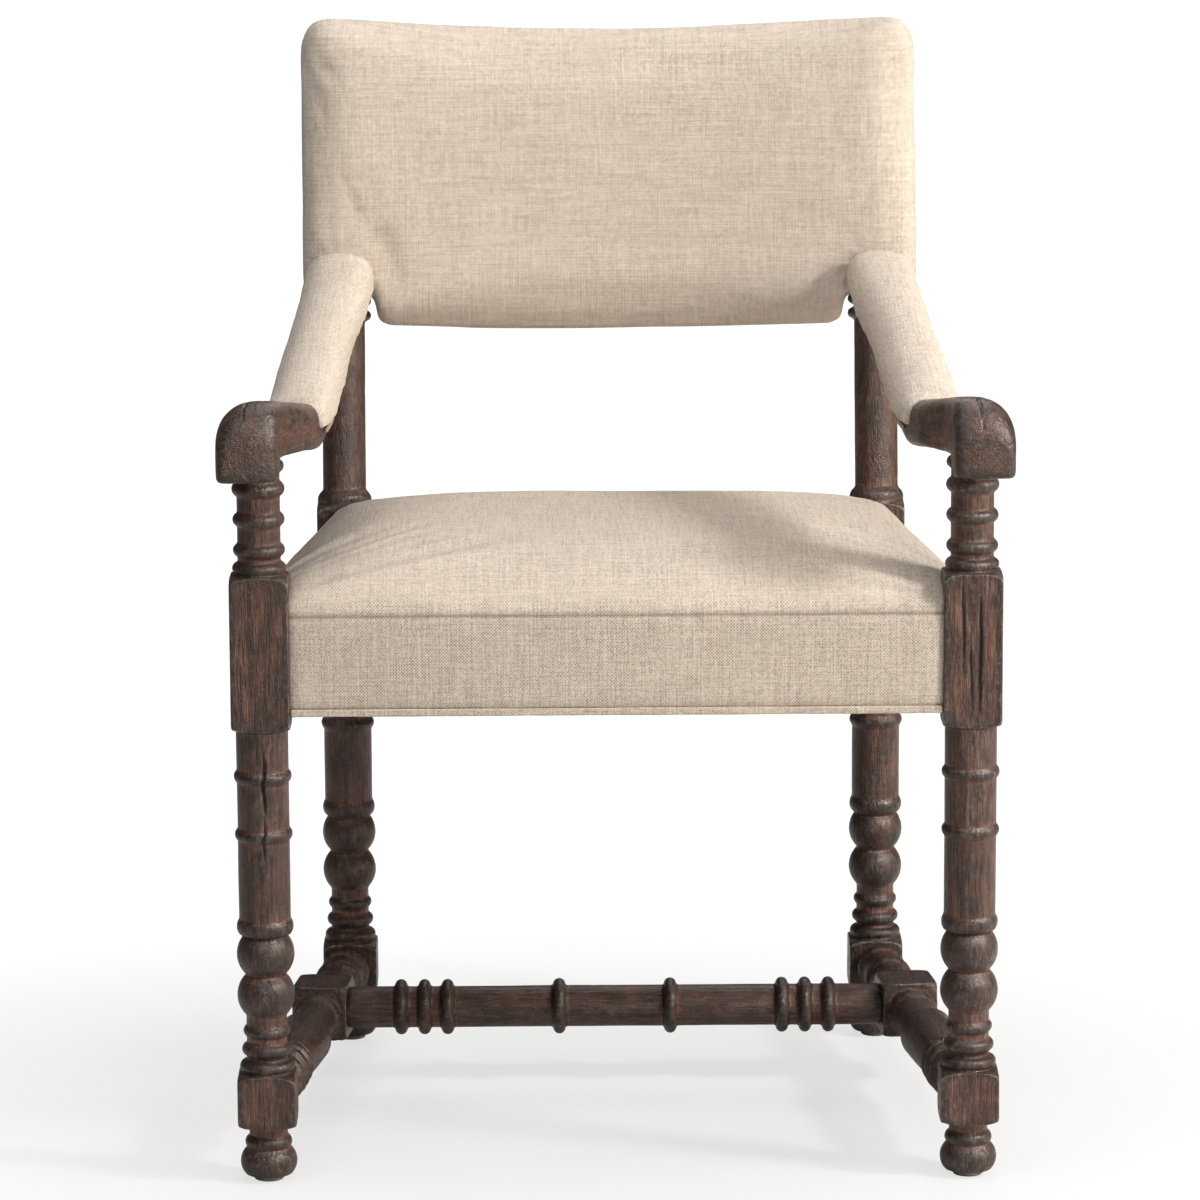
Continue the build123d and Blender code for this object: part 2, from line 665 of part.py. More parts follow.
# Each screw starts in its corner block and points into a rail
side_way = Vector(-1, -taper, 0).normalized()
screw_places = []
for sign in (-1, 1):
    for rail_y, block_y, way_y in (
        (front_rail_inner, front_block_rear, -1),
        (rear_rail_inner, rear_block_front, 1),
    ):
        inner_x = front_block_inner if way_y < 0 else rear_block_inner
        screw_places.append((
            Vector(sign * (inner_x - screw_step), rail_y - way_y * (screw_length - screw_bite), screw_height),
            Vector(0, way_y, 0),
        ))
        side_y = block_y - way_y * screw_step
        outward = Vector(sign * -side_way.X, side_way.Y, 0)
        on_rail = Vector(sign * side_x(side_y, side_inner_offset), side_y, screw_height)
        screw_places.append((on_rail - outward * (screw_length - screw_bite), outward))

with BuildPart() as front_seat_rail:
    with BuildSketch(rail_plane):
        with Locations((0, front_rail_middle)):
            Rectangle(2 * front_block_inner, rail_thickness)
    extrude(amount=rail_depth)
    with BuildSketch(rail_tenon_plane):
        with Locations((0, front_rail_middle)):
            Rectangle(2 * (front_block_inner + rail_tenon_length), rail_tenon_thickness)
    extrude(amount=rail_tenon_depth)
    block_screw_holes(screw_radius + tenon_gap, screw_radius + tenon_gap)
front_seat_rail.part.label = "front_seat_rail"
export_step(front_seat_rail.part, "parts/front_seat_rail.step")

with BuildPart() as rear_seat_rail:
    with BuildSketch(rail_plane):
        with Locations((0, rear_rail_middle)):
            Rectangle(2 * rear_block_inner, rail_thickness)
    extrude(amount=rail_depth)
    with BuildSketch(rail_tenon_plane):
        with Locations((0, rear_rail_middle)):
            Rectangle(2 * (rear_block_inner + rail_tenon_length), rail_tenon_thickness)
    extrude(amount=rail_tenon_depth)
    block_screw_holes(screw_radius + tenon_gap, screw_radius + tenon_gap)
rear_seat_rail.part.label = "rear_seat_rail"
export_step(rear_seat_rail.part, "parts/rear_seat_rail.step")

with BuildPart() as side_seat_rail_left:
    with BuildSketch(rail_plane):
        with BuildLine():
            Polyline(
                *[
                    (-side_x(y, offset), y)
                    for y, offset in (
                        (front_block_rear, side_rail_outer),
                        (rear_block_front, side_rail_outer),
                        (rear_block_front, side_inner_offset),
                        (front_block_rear, side_inner_offset),
                    )
                ],
                close=True,
            )
        make_face()
    extrude(amount=rail_depth)
    for tenon_x, tenon_y in (
        (front_side_tenon_x, front_block_rear - rail_tenon_length / 2),
        (rear_side_tenon_x, rear_block_front + rail_tenon_length / 2),
    ):
        with BuildSketch(rail_tenon_plane):
            with Locations((-tenon_x, tenon_y)):
                Rectangle(rail_tenon_thickness, rail_tenon_length)
        extrude(amount=rail_tenon_depth)
    block_screw_holes(screw_radius + tenon_gap, screw_radius + tenon_gap)
side_seat_rail_left.part.label = "side_seat_rail_left"
export_step(side_seat_rail_left.part, "parts/side_seat_rail_left.step")

with BuildPart() as side_seat_rail_right:
    mirror(side_seat_rail_left.part, about=Plane.YZ)
side_seat_rail_right.part.label = "side_seat_rail_right"
export_step(side_seat_rail_right.part, "parts/side_seat_rail_right.step")

# Corner blocks between the rails, cut round the leg, and the screws that hold them
for corner, (leg_x, leg_y) in leg_places.items():
    sign = 1 if leg_x > 0 else -1
    front = leg_y < 0
    way_y = -1 if front else 1
    inner_x = (front_block_inner if front else rear_block_inner) - soft_gap
    rail_y = front_rail_inner if front else rear_rail_inner
    block_y = (front_block_rear if front else rear_block_front) - way_y * soft_gap
    far_y = block_y - way_y * corner_block_leg
    with BuildPart() as corner_block:
        with BuildSketch(Plane((0, 0, rail_middle - corner_block_depth / 2))):
            with BuildLine():
                Polyline(
                    (sign * (inner_x - corner_block_leg), rail_y),
                    (sign * inner_x, rail_y),
                    (sign * inner_x, block_y),
                    (sign * side_x(block_y, side_inner_offset), block_y),
                    (sign * side_x(far_y, side_inner_offset), far_y),
                    close=True,
                )
            make_face()
        extrude(amount=corner_block_depth)
        block_screw_holes(screw_radius + tenon_gap, screw_head_radius + tenon_gap)
    corner_block.part.label = f"corner_block_{corner}"
    export_step(corner_block.part, f"parts/corner_block_{corner}.step")

with BuildPart() as corner_block_screws:
    for start, way in screw_places:
        with BuildSketch(Plane(origin=start, z_dir=way)):
            Circle(screw_radius)
        extrude(amount=screw_length)
        with BuildSketch(Plane(origin=start, z_dir=way)):
            Circle(screw_head_radius)
        extrude(amount=-screw_radius)
corner_block_screws.part.label = "corner_block_screws"
export_step(corner_block_screws.part, "parts/corner_block_screws.step")

# Seat webbing on the rails, lengthwise below and crosswise above, and the hessian over it
webbing_low = rail_top
crosswise_low = webbing_low + webbing_thickness
hessian_low = crosswise_low + webbing_thickness
foam_low = hessian_low + hessian_thickness

with BuildPart() as seat_webbing_lengthwise:
    with BuildSketch(Plane((0, 0, webbing_low))):
        for place_share in webbing_place_shares:
            strip_x = place_share * (rear_block_inner - webbing_margin)
            with Locations((strip_x, (front_rail_front + rear_rail_rear) / 2)):
                Rectangle(webbing_width, rear_rail_rear - front_rail_front - 2 * webbing_margin)
    extrude(amount=webbing_thickness)
seat_webbing_lengthwise.part.label = "seat_webbing_lengthwise"
export_step(seat_webbing_lengthwise.part, "parts/seat_webbing_lengthwise.step")

with BuildPart() as seat_webbing_crosswise:
    with BuildSketch(Plane((0, 0, crosswise_low))):
        for place_share in webbing_place_shares:
            strip_y = (front_leg_y + rear_leg_y) / 2 + place_share * (leg_spacing - leg_stock) / 2
            strip_rear = strip_y + webbing_width / 2
            with Locations((0, strip_y)):
                Rectangle(2 * (side_x(strip_rear, side_rail_outer) - webbing_margin), webbing_width)
    extrude(amount=webbing_thickness)
seat_webbing_crosswise.part.label = "seat_webbing_crosswise"
export_step(seat_webbing_crosswise.part, "parts/seat_webbing_crosswise.step")

# The seat's outline in plan, drawn in from its front, side and rear faces
seat_front = front_leg_y - half_stock + seat_front_inset
seat_rear = rear_leg_y + half_stock - seat_rear_inset


def seat_outline(height, front, side, rear, corner):
    """The seat's outline at a height, drawn in by front, side and rear, with its corners rounded."""
    low, high = seat_front + front, seat_rear - rear
    low_x = side_x(low, seat_side_offset - side)
    high_x = side_x(high, seat_side_offset - side)
    with BuildSketch(Plane((0, 0, height))) as outline:
        with BuildLine():
            Polyline((-low_x, low), (low_x, low), (high_x, high), (-high_x, high), close=True)
        make_face()
        fillet(outline.vertices(), corner)
    return outline.sketch


def seat_body(inset, low):
    """The upholstered seat from low to its crown, drawn in all round by inset."""
    edge = crown_corner_shares[0] * crown_corner_round
    sections = []
    for rise, front, side, rear, corner in zip(
        crown_height_shares, crown_front_shares, crown_side_shares, crown_rear_shares, crown_corner_shares
    ):
        sections.append(
            seat_outline(
                seat_seam_height + rise * (seat_crown - inset),
                inset + front * crown_edge_reach,
                inset + side * crown_edge_reach,
                inset + rear * crown_rear_reach,
                corner * crown_corner_round,
            )
        )
    with BuildPart() as body:
        extrude(seat_outline(low, inset, inset, inset, edge), amount=seat_seam_height - low)
        loft(sections, ruled=True)
    return body.part


def cut_leg_notches():
    """Cut the seat's layers clear of the four leg blocks."""
    for leg_x, leg_y in leg_places.values():
        with Locations((leg_x, leg_y, seat_seam_height)):
            Box(leg_stock + 2 * soft_gap, leg_stock + 2 * soft_gap, leg_spacing, mode=Mode.SUBTRACT)


welt_top = seat_bottom + welt_height

with BuildPart() as seat_hessian:
    add(seat_outline(hessian_low, *(skin + webbing_margin,) * 3, soft_gap))
    extrude(amount=hessian_thickness)
    cut_leg_notches()
seat_hessian.part.label = "seat_hessian"
export_step(seat_hessian.part, "parts/seat_hessian.step")

with BuildPart() as seat_foam:
    add(seat_body(cloth, foam_low))
    cut_leg_notches()
seat_foam.part.label = "seat_foam"
export_step(seat_foam.part, "parts/seat_foam.step")

with BuildPart() as seat_cover:
    add(seat_body(0, welt_top))
    add(seat_body(cloth, welt_top - overrun), mode=Mode.SUBTRACT)
    cut_leg_notches()
seat_cover.part.label = "seat_cover"
export_step(seat_cover.part, "parts/seat_cover.step")

# Welt: a flat band under the cover's lower edge, in four runs between the legs
with BuildPart() as seat_welt:
    with BuildSketch(Plane((0, 0, seat_bottom))):
        welt_front = seat_front - welt_proud
        with Locations((0, (welt_front + front_rail_front) / 2)):
            Rectangle(2 * (front_block_inner - soft_gap), front_rail_front - welt_front)
        welt_rear = seat_rear + welt_proud
        with Locations((0, (welt_rear + rear_rail_rear) / 2)):
            Rectangle(2 * (rear_block_inner - soft_gap), welt_rear - rear_rail_rear)
        for sign in (-1, 1):
            with BuildLine():
                Polyline(
                    *[
                        (sign * side_x(y, offset), y)
                        for y, offset in (
                            (front_block_rear + soft_gap, side_rail_outer),
                            (rear_block_front - soft_gap, side_rail_outer),
                            (rear_block_front - soft_gap, seat_side_offset + welt_proud),
                            (front_block_rear + soft_gap, seat_side_offset + welt_proud),
                        )
                    ],
                    close=True,
                )
            make_face()
    extrude(amount=welt_height)
seat_welt.part.label = "seat_welt"
export_step(seat_welt.part, "parts/seat_welt.step")

with BuildPart() as dust_cover:
    add(seat_outline(seat_bottom, *(skin + soft_gap,) * 3, soft_gap))
    extrude(amount=dust_cover_thickness)
    cut_leg_notches()
dust_cover.part.label = "dust_cover"
export_step(dust_cover.part, "parts/dust_cover.step")

# Back: its outline is lofted along X through upright sections, hollowed to the rear in plan
def back_section(share, dip, slim, inset):
    """One upright section of the back, at a share of its half width, drawn in by inset."""
    x = share * (back_half_width - inset)
    hollow = hollow_at(x)
    middle = (back_rear - back_front) / 2 + hollow
    half = back_thickness / 2 - inset - slim * back_edge_round
    top = back_top - inset - dip * (back_top - back_bottom)
    low = back_bottom + inset - back_sag * hollow / back_hollow
    high_corner = top - (back_edge_round - inset)
    low_corner = low + back_under_round - inset
    with BuildSketch(back_side_plane(x)) as section:
        with BuildLine():
            Line((middle - half, low_corner), (middle - half, high_corner))
            ThreePointArc((middle - half, high_corner), (middle, top), (middle + half, high_corner))
            Line((middle + half, high_corner), (middle + half, low_corner))
            ThreePointArc((middle + half, low_corner), (middle, low), (middle - half, low_corner))
        make_face()
    return section.sketch


tongue_half = rear_leg_x - column_ring_radius - back_tongue_gap


def back_body(inset):
    """The whole upholstered back, with its lower corners cut out around the columns."""
    half = list(zip(back_half_station_shares, back_dip_shares, back_slim_shares))
    left_half = [(-share, dip, slim) for share, dip, slim in half[:0:-1]]
    sections = [back_section(*station, inset) for station in left_half + half]
    side = tongue_half - inset
    high = notch_top + inset
    corner = back_bottom + inset - back_sag + tongue_corner
    near = tongue_corner * quarter_arc_share
    with BuildPart() as body:
        loft(sections, ruled=True)
        with BuildSketch(Plane(origin=back_origin, x_dir=(1, 0, 0), z_dir=-rake_forward)) as outline:
            for sign in (-1, 1):
                with BuildLine():
                    ThreePointArc(
                        (sign * side, corner),
                        (sign * (side - near), corner - tongue_corner + near),
                        (sign * (side - tongue_corner), corner - tongue_corner),
                    )
                    Polyline(
                        (sign * (side - tongue_corner), corner - tongue_corner),
                        (sign * (side - tongue_corner), band_low),
                        (0, band_low),
                        (0, band_high),
                        (sign * back_reach_x, band_high),
                        (sign * back_reach_x, high),
                        (sign * side, high),
                        (sign * side, corner),
                    )
                make_face()
        extrude(outline.sketch, amount=leg_spacing / 2, both=True, mode=Mode.INTERSECT)
    return body.part


def hollow_band(front, rear, half, low, high):
    """A band that follows the hollow of the back, from front to rear, as wide as twice half."""
    wide = back_half_width
    with BuildPart() as band:
        with BuildSketch(back_plane.offset(low)) as plan:
            with BuildLine():
                ThreePointArc((-wide, front), (0, front + back_hollow), (wide, front))
                Line((wide, front), (wide, rear))
                ThreePointArc((wide, rear), (0, rear + back_hollow), (-wide, rear))
                Line((-wide, rear), (-wide, front))
            make_face()
            Rectangle(2 * half, 4 * leg_spacing, mode=Mode.INTERSECT)
        extrude(plan.sketch, amount=high - low)
    return band.part


band_low = back_bottom - back_sag - back_under_round
band_high = back_top + overrun
back_reach_x = back_half_width + overrun
back_outside = back_body(0)
back_inside = back_body(cloth)
panel_half = outer_panel_share * back_half_width
panel_front = back_rear - outer_panel_rim
behind_rim = hollow_band(panel_front, leg_spacing, panel_half, band_low, band_high)

# Back rails: hollowed bands between the heads of the rear posts, tenoned into them
tongue_inner = tongue_half - cloth - back_wrap
rail_notch_top = notch_top + cloth + soft_gap


def back_rail_tenons(place):
    """A back rail's two tenons, centred at place up the rake."""
    for sign in (-1, 1):
        root = rake_point(sign * head_inner, back_rail_centre, place)
        with BuildSketch(Plane(origin=root, x_dir=rake_forward, z_dir=(sign, 0, 0))) as tenon:
            Rectangle(back_rail_tenon_thickness, back_rail_tenon_depth)
        extrude(tenon.sketch, amount=back_rail_tenon_length)


def cut_beside_tongue(side, high):
    """Cut away both sides of the back's tongue below high."""
    for sign in (-1, 1):
        with BuildSketch(back_plane.offset(band_low)) as beside:
            with Locations((sign * (side + back_reach_x) / 2, 0)):
                Rectangle(back_reach_x - side, leg_spacing)
        extrude(beside.sketch, amount=high - band_low, mode=Mode.SUBTRACT)


with BuildPart() as back_top_rail:
    add(hollow_band(back_rail_front, back_rail_rear, head_inner, top_rail_low, head_top))
    back_rail_tenons(back_tenon_places[0])
back_top_rail.part.label = "back_top_rail"
export_step(back_top_rail.part, "parts/back_top_rail.step")

with BuildPart() as back_bottom_rail:
    add(hollow_band(back_rail_front, back_rail_rear, head_inner, bottom_rail_low, bottom_rail_high))
    cut_beside_tongue(tongue_inner, rail_notch_top)
    back_rail_tenons(back_tenon_places[1])
back_bottom_rail.part.label = "back_bottom_rail"
export_step(back_bottom_rail.part, "parts/back_bottom_rail.step")

with BuildPart() as back_webbing:
    add(
        hollow_band(
            cavity_front,
            back_rail_front,
            head_inner,
            bottom_rail_low + webbing_margin,
            head_top - webbing_margin,
        )
    )
    with BuildSketch(Plane(origin=back_origin, x_dir=(1, 0, 0), z_dir=-rake_forward)) as strips:
        for share in back_web_place_shares:
            with Locations((share * head_inner, (band_low + band_high) / 2)):
                Rectangle(webbing_width, band_high - band_low)
    extrude(strips.sketch, amount=leg_spacing / 2, both=True, mode=Mode.INTERSECT)
back_webbing.part.label = "back_webbing"
export_step(back_webbing.part, "parts/back_webbing.step")


# Arms: lofted along Y through upright sections, from inside the back to the nose of the hand
def arm_station(place, shares):
    """Where an arm station stands: its place, centre, underside, depth, width and its three rounds."""
    out, rise, deep, wide, *rounds = shares
    centre = rear_leg_x + out * (front_leg_x + hand_offset - rear_leg_x)
    width = wide * hand_width
    return place, centre, arm_seat + rise * arm_rise, deep * hand_height, width, *(r * width for r in rounds)


arm_stations = [arm_station(front_leg_y + s[0] * leg_spacing, s[1:]) for s in arm_station_shares]
hand_stations = [arm_station(front_leg_y - s[0] * hand_reach, s[1:]) for s in hand_station_shares]


def arm_section(place, centre, low, depth, width, outer, inner, base):
    """One upright section across the left arm, with its four edges rounded."""
    left, right, high = -centre - width / 2, -centre + width / 2, low + depth
    corners = (
        (left, low, 1, 1, base),
        (left, high, 1, -1, outer),
        (right, high, -1, -1, inner),
        (right, low, -1, 1, base),
    )
    with BuildSketch(Plane((0, place, 0), x_dir=(1, 0, 0), z_dir=(0, -1, 0))) as section:
        with BuildLine():
            ends = []
            for index, (x, z, along, up, size) in enumerate(corners):
                near = size * quarter_arc_share
                rising, level = (x, z + up * size), (x + along * size, z)
                start, end = (level, rising) if index % 2 == 0 else (rising, level)
                ThreePointArc(start, (x + along * near, z + up * near), end)
                ends.append((start, end))
            for index, (start, _) in enumerate(ends):
                Line(ends[index - 1][1], start)
        make_face()
    return section.sketch


def ruled_arm(stations, grow):
    """The arm's timber through its stations, grown on all sides."""
    sections = [
        arm_section(place, centre, low - grow, depth + 2 * grow, width + 2 * grow, *rounds)
        for place, centre, low, depth, width, *rounds in stations
    ]
    with BuildPart() as body:
        loft(sections, ruled=True)
    return body.part


with BuildPart() as arm_left:
    add(ruled_arm(arm_stations + hand_stations, 0))
    split(bisect_by=head_front_plane, keep=Keep.BOTTOM)
    with BuildSketch(Plane((-front_leg_x, front_leg_y, arm_seat))) as seat_recess:
        Circle(arm_post_radius + soft_gap)
    extrude(seat_recess.sketch, amount=-hand_height, mode=Mode.SUBTRACT)
    with BuildSketch(Plane((-front_leg_x, front_leg_y, arm_seat))) as post_mortise:
        Circle(post_tenon_radius + tenon_gap)
    extrude(post_mortise.sketch, amount=post_tenon_length + soft_gap, mode=Mode.SUBTRACT)
    with BuildSketch(head_front_plane) as rear_tenon:
        with Locations((0, arm_joint)):
            Rectangle(arm_tenon_width, arm_tenon_depth)
    extrude(rear_tenon.sketch, amount=arm_tenon_length)
    with BuildSketch(head_front_plane.offset(arm_tenon_length)) as bolt_hole:
        with Locations((0, arm_joint)):
            Circle(bolt_radius + tenon_gap)
    extrude(bolt_hole.sketch, amount=-arm_tenon_length - bolt_bite - soft_gap, mode=Mode.SUBTRACT)
arm_left.part.label = "arm_left"
export_step(arm_left.part, "parts/arm_left.step")

with BuildPart() as arm_right:
    mirror(arm_left.part, about=Plane.YZ)
arm_right.part.label = "arm_right"
export_step(arm_right.part, "parts/arm_right.step")

with BuildPart() as arm_bolts:
    for sign in (-1, 1):
        head_rear = rake_point(sign * rear_leg_x, head_half, arm_joint)
        with BuildSketch(Plane(origin=head_rear, x_dir=(1, 0, 0), z_dir=rake_forward)) as bolt_head:
            Circle(bolt_head_radius)
        extrude(bolt_head.sketch, amount=bolt_head_height)
        with BuildSketch(Plane(origin=head_rear, x_dir=(1, 0, 0), z_dir=-rake_forward)) as shank:
            Circle(bolt_radius)
        extrude(shank.sketch, amount=bolt_length)
arm_bolts.part.label = "arm_bolts"
export_step(arm_bolts.part, "parts/arm_bolts.step")

# Back foam and cover, cut clear of the posts' heads, the rails and the arms' rear ends
arm_way = ruled_arm(arm_stations, soft_gap)
head_way = post_head_stock + 2 * soft_gap


def cut_arm_ways():
    """Cut the ways for the two arms."""
    add(arm_way, mode=Mode.SUBTRACT)
    add(mirror(arm_way, about=Plane.YZ, mode=Mode.PRIVATE), mode=Mode.SUBTRACT)


def cut_head_ways():
    """Cut the ways for the heads of the two rear posts."""
    for sign in (-1, 1):
        with BuildSketch(Plane(rake_point(sign * rear_leg_x, 0, head_low), x_dir=(1, 0, 0), z_dir=rake_up)) as head:
            Rectangle(head_way, head_way)
        extrude(head.sketch, amount=head_top - head_low + soft_gap, mode=Mode.SUBTRACT)


cavity_half = rear_leg_x + head_half + soft_gap
with BuildPart() as cavity:
    add(hollow_band(cavity_front, leg_spacing, cavity_half, bottom_rail_low - soft_gap, head_top + soft_gap))
    cut_beside_tongue(tongue_inner + soft_gap, notch_top)

with BuildPart() as back_foam:
    add(back_inside)
    add(cavity.part, mode=Mode.SUBTRACT)
    cut_head_ways()
    cut_arm_ways()
back_foam.part.label = "back_foam"
export_step(back_foam.part, "parts/back_foam.step")

with BuildPart() as back_cover:
    add(back_outside)
    add(back_inside, mode=Mode.SUBTRACT)
    add(behind_rim, mode=Mode.SUBTRACT)
    cut_head_ways()
    cut_arm_ways()
back_cover.part.label = "back_cover"
export_step(back_cover.part, "parts/back_cover.step")

with BuildPart() as back_outer_panel:
    add(back_outside)
    add(back_inside, mode=Mode.SUBTRACT)
    add(behind_rim, mode=Mode.INTERSECT)
    cut_head_ways()
back_outer_panel.part.label = "back_outer_panel"
export_step(back_outer_panel.part, "parts/back_outer_panel.step")

# Arm pads: over the timber, from the back's front face to behind the hand
pad_stations = list(zip(arm_stations, pad_width_shares, pad_thickness_shares, pad_reveal_shares))
pad_front = pad_stations[-1][0][0]
back_way = back_body(-soft_gap)


def pad_body(inset, drop):
    """The left arm's pad, drawn in by inset, with its underside lowered by drop."""
    sections = []
    for (place, centre, under, depth, *_), wide, thick, reveal in pad_stations:
        low = under + reveal * pad_reveal - drop
        high = under + depth + thick * pad_thickness - inset
        over = pad_round_share * pad_width - inset
        edge = pad_edge_share * pad_width
        sections.append(arm_section(place, centre, low, high - low, wide * pad_width - 2 * inset, over, over, edge))
    with BuildPart() as body:
        loft(sections, ruled=True)
    return body.part


with BuildPart() as arm_foam_left:
    add(pad_body(cloth, 0))
    split(bisect_by=Plane((0, pad_front + cloth, 0), z_dir=(0, 1, 0)))
    add(arm_way, mode=Mode.SUBTRACT)
    add(back_way, mode=Mode.SUBTRACT)
arm_foam_left.part.label = "arm_foam_left"
export_step(arm_foam_left.part, "parts/arm_foam_left.step")

with BuildPart() as arm_foam_right:
    mirror(arm_foam_left.part, about=Plane.YZ)
arm_foam_right.part.label = "arm_foam_right"
export_step(arm_foam_right.part, "parts/arm_foam_right.step")

with BuildPart() as pad_room:
    add(pad_body(cloth, overrun))
    split(bisect_by=Plane((0, pad_front + cloth, 0), z_dir=(0, 1, 0)))

with BuildPart() as arm_cover_left:
    add(pad_body(0, 0))
    add(pad_room.part, mode=Mode.SUBTRACT)
    add(arm_way, mode=Mode.SUBTRACT)
    add(back_way, mode=Mode.SUBTRACT)
arm_cover_left.part.label = "arm_cover_left"
export_step(arm_cover_left.part, "parts/arm_cover_left.step")

with BuildPart() as arm_cover_right:
    mirror(arm_cover_left.part, about=Plane.YZ)
arm_cover_right.part.label = "arm_cover_right"
export_step(arm_cover_right.part, "parts/arm_cover_right.step")

# Arm trims: a strip against each side of the timber, under the pad's lower edges
trim_sections = []
for (place, centre, low, depth, width, *_), wide, thick, reveal in pad_stations:
    with BuildSketch(Plane((0, place, 0), x_dir=(1, 0, 0), z_dir=(0, -1, 0))) as trim_section:
        with Locations((-centre, low + reveal * pad_reveal - trim_height / 2)):
            Rectangle(width + 2 * (trim_width + soft_gap), trim_height)
    trim_sections.append(trim_section.sketch)

with BuildPart() as arm_trim_left:
    loft(trim_sections, ruled=True)
    add(arm_way, mode=Mode.SUBTRACT)
    add(back_way, mode=Mode.SUBTRACT)
arm_trim_left.part.label = "arm_trim_left"
export_step(arm_trim_left.part, "parts/arm_trim_left.step")

with BuildPart() as arm_trim_right:
    mirror(arm_trim_left.part, about=Plane.YZ)
arm_trim_right.part.label = "arm_trim_right"
export_step(arm_trim_right.part, "parts/arm_trim_right.step")
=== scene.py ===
import math

import bmesh
import bpy
import numpy as np
from mathutils import Matrix, Vector


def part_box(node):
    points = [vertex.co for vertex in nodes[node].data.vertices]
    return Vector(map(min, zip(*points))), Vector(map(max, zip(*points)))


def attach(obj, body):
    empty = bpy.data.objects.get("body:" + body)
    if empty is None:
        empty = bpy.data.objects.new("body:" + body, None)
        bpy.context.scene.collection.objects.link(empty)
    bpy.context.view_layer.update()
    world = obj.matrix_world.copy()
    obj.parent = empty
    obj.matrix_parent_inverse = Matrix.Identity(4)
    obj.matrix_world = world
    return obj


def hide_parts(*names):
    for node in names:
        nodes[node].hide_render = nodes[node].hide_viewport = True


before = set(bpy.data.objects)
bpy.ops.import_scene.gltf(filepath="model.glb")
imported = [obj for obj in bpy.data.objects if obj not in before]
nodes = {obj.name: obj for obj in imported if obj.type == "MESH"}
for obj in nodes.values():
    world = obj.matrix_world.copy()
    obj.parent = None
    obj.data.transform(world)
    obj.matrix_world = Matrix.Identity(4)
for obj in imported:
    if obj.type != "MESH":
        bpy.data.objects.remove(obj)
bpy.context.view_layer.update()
scene = bpy.context.scene


def middle(name):
    """The middle of a CAD node's box."""
    low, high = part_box(name)
    return [(a + b) / 2 for a, b in zip(low, high)]


# Places in the row frame, in metres: the posts' axes stand over their glides
FRONT_X, FRONT_Y, _ = middle("glide_front_right")
REAR_X, REAR_Y, _ = middle("glide_rear_right")
POSTS = ((-FRONT_X, FRONT_Y), (FRONT_X, FRONT_Y), (-REAR_X, REAR_Y), (REAR_X, REAR_Y))
DEPTH = REAR_Y - FRONT_Y
TAPER = (FRONT_X - REAR_X) / DEPTH
SECANT = math.sqrt(1 + TAPER**2)
SIDES = ((-1, "left"), (1, "right"))
AXES = ("x", "y", "z")

# Cloth simulation: its frames, its pressure, and the furthest that a point of each cushion may move
CLOTH_FRAMES = 20
CLOTH_PRESSURE = 3.0
SEAT_SWELL, BACK_SWELL, PAD_SWELL = 0.006, 0.005, 0.003


# Mesh tools
def lattice(ix, iy, iz, seed):
    """A random value from 0 to 1 for each point of a whole-number lattice."""
    h = (ix * 374761393 + iy * 668265263 + iz * 1440662683 + seed * 1274126177) & 0xFFFFFFFF
    h = ((h ^ (h >> 13)) * 1274126177) & 0xFFFFFFFF
    h = ((h ^ (h >> 15)) * 2246822519) & 0xFFFFFFFF
    return ((h ^ (h >> 16)) & 0xFFFFFF) / float(0xFFFFFF)


def noise(points, scale, seed=0):
    """Value noise from -1 to 1 at points, with a scale per axis."""
    p = points * np.asarray(scale, float) + 31.7
    base = np.floor(p).astype(np.int64)
    f = p - base
    f = f * f * (3 - 2 * f)
    out = np.zeros(len(p))
    for i in (0, 1):
        wx = f[:, 0] if i else 1 - f[:, 0]
        for j in (0, 1):
            wy = f[:, 1] if j else 1 - f[:, 1]
            for k in (0, 1):
                wz = f[:, 2] if k else 1 - f[:, 2]
                out += wx * wy * wz * lattice(base[:, 0] + i, base[:, 1] + j, base[:, 2] + k, seed)
    return 2 * out - 1


def rough_noise(points, scale, seed=0, octaves=3):
    scale = np.asarray(scale, float)
    return sum(noise(points, scale * 2**k, seed + k) * 0.5**k for k in range(octaves)) / 1.6


def step(x, low, high):
    t = np.clip((x - low) / (high - low), 0, 1)
    return t * t * (3 - 2 * t)


def ridge(x, place, width):
    """A smooth bump of height 1 at a place."""
    return np.exp(-(((x - place) / width) ** 2))


def along(axis, fine, coarse):
    """A scale that is coarse along the grain's axis and fine across it."""
    return tuple(coarse if i == axis else fine for i in range(3))


def get_co(mesh):
    co = np.empty(len(mesh.vertices) * 3)
    mesh.vertices.foreach_get("co", co)
    return co.reshape(-1, 3)


def set_co(mesh, co):
    mesh.vertices.foreach_set("co", np.ascontiguousarray(co, float).ravel())
    mesh.update()


def get_normals(mesh):
    n = np.empty(len(mesh.vertices) * 3)
    mesh.vertex_normals.foreach_get("vector", n)
    return n.reshape(-1, 3)


def get_edges(mesh):
    e = np.empty(len(mesh.edges) * 2, np.int32)
    mesh.edges.foreach_get("vertices", e)
    return e.reshape(-1, 2)


def relax(values, edges, rounds, share=0.6):
    """Laplacian smoothing of any per-vertex values."""
    values = values.copy()
    count = len(values)
    a, b = edges[:, 0], edges[:, 1]
    degree = np.maximum(np.bincount(a, minlength=count) + np.bincount(b, minlength=count), 1)
    flat = values.reshape(count, -1)
    for _ in range(rounds):
        mean = np.empty_like(flat)
        for c in range(flat.shape[1]):
            mean[:, c] = np.bincount(a, flat[b, c], count) + np.bincount(b, flat[a, c], count)
        flat += share * (mean / degree[:, None] - flat)
    return flat.reshape(values.shape)


def attribute(mesh, name, values):
    layer = mesh.attributes.new(name, "FLOAT", "POINT")
    layer.data.foreach_set("value", np.ascontiguousarray(values, np.float32))


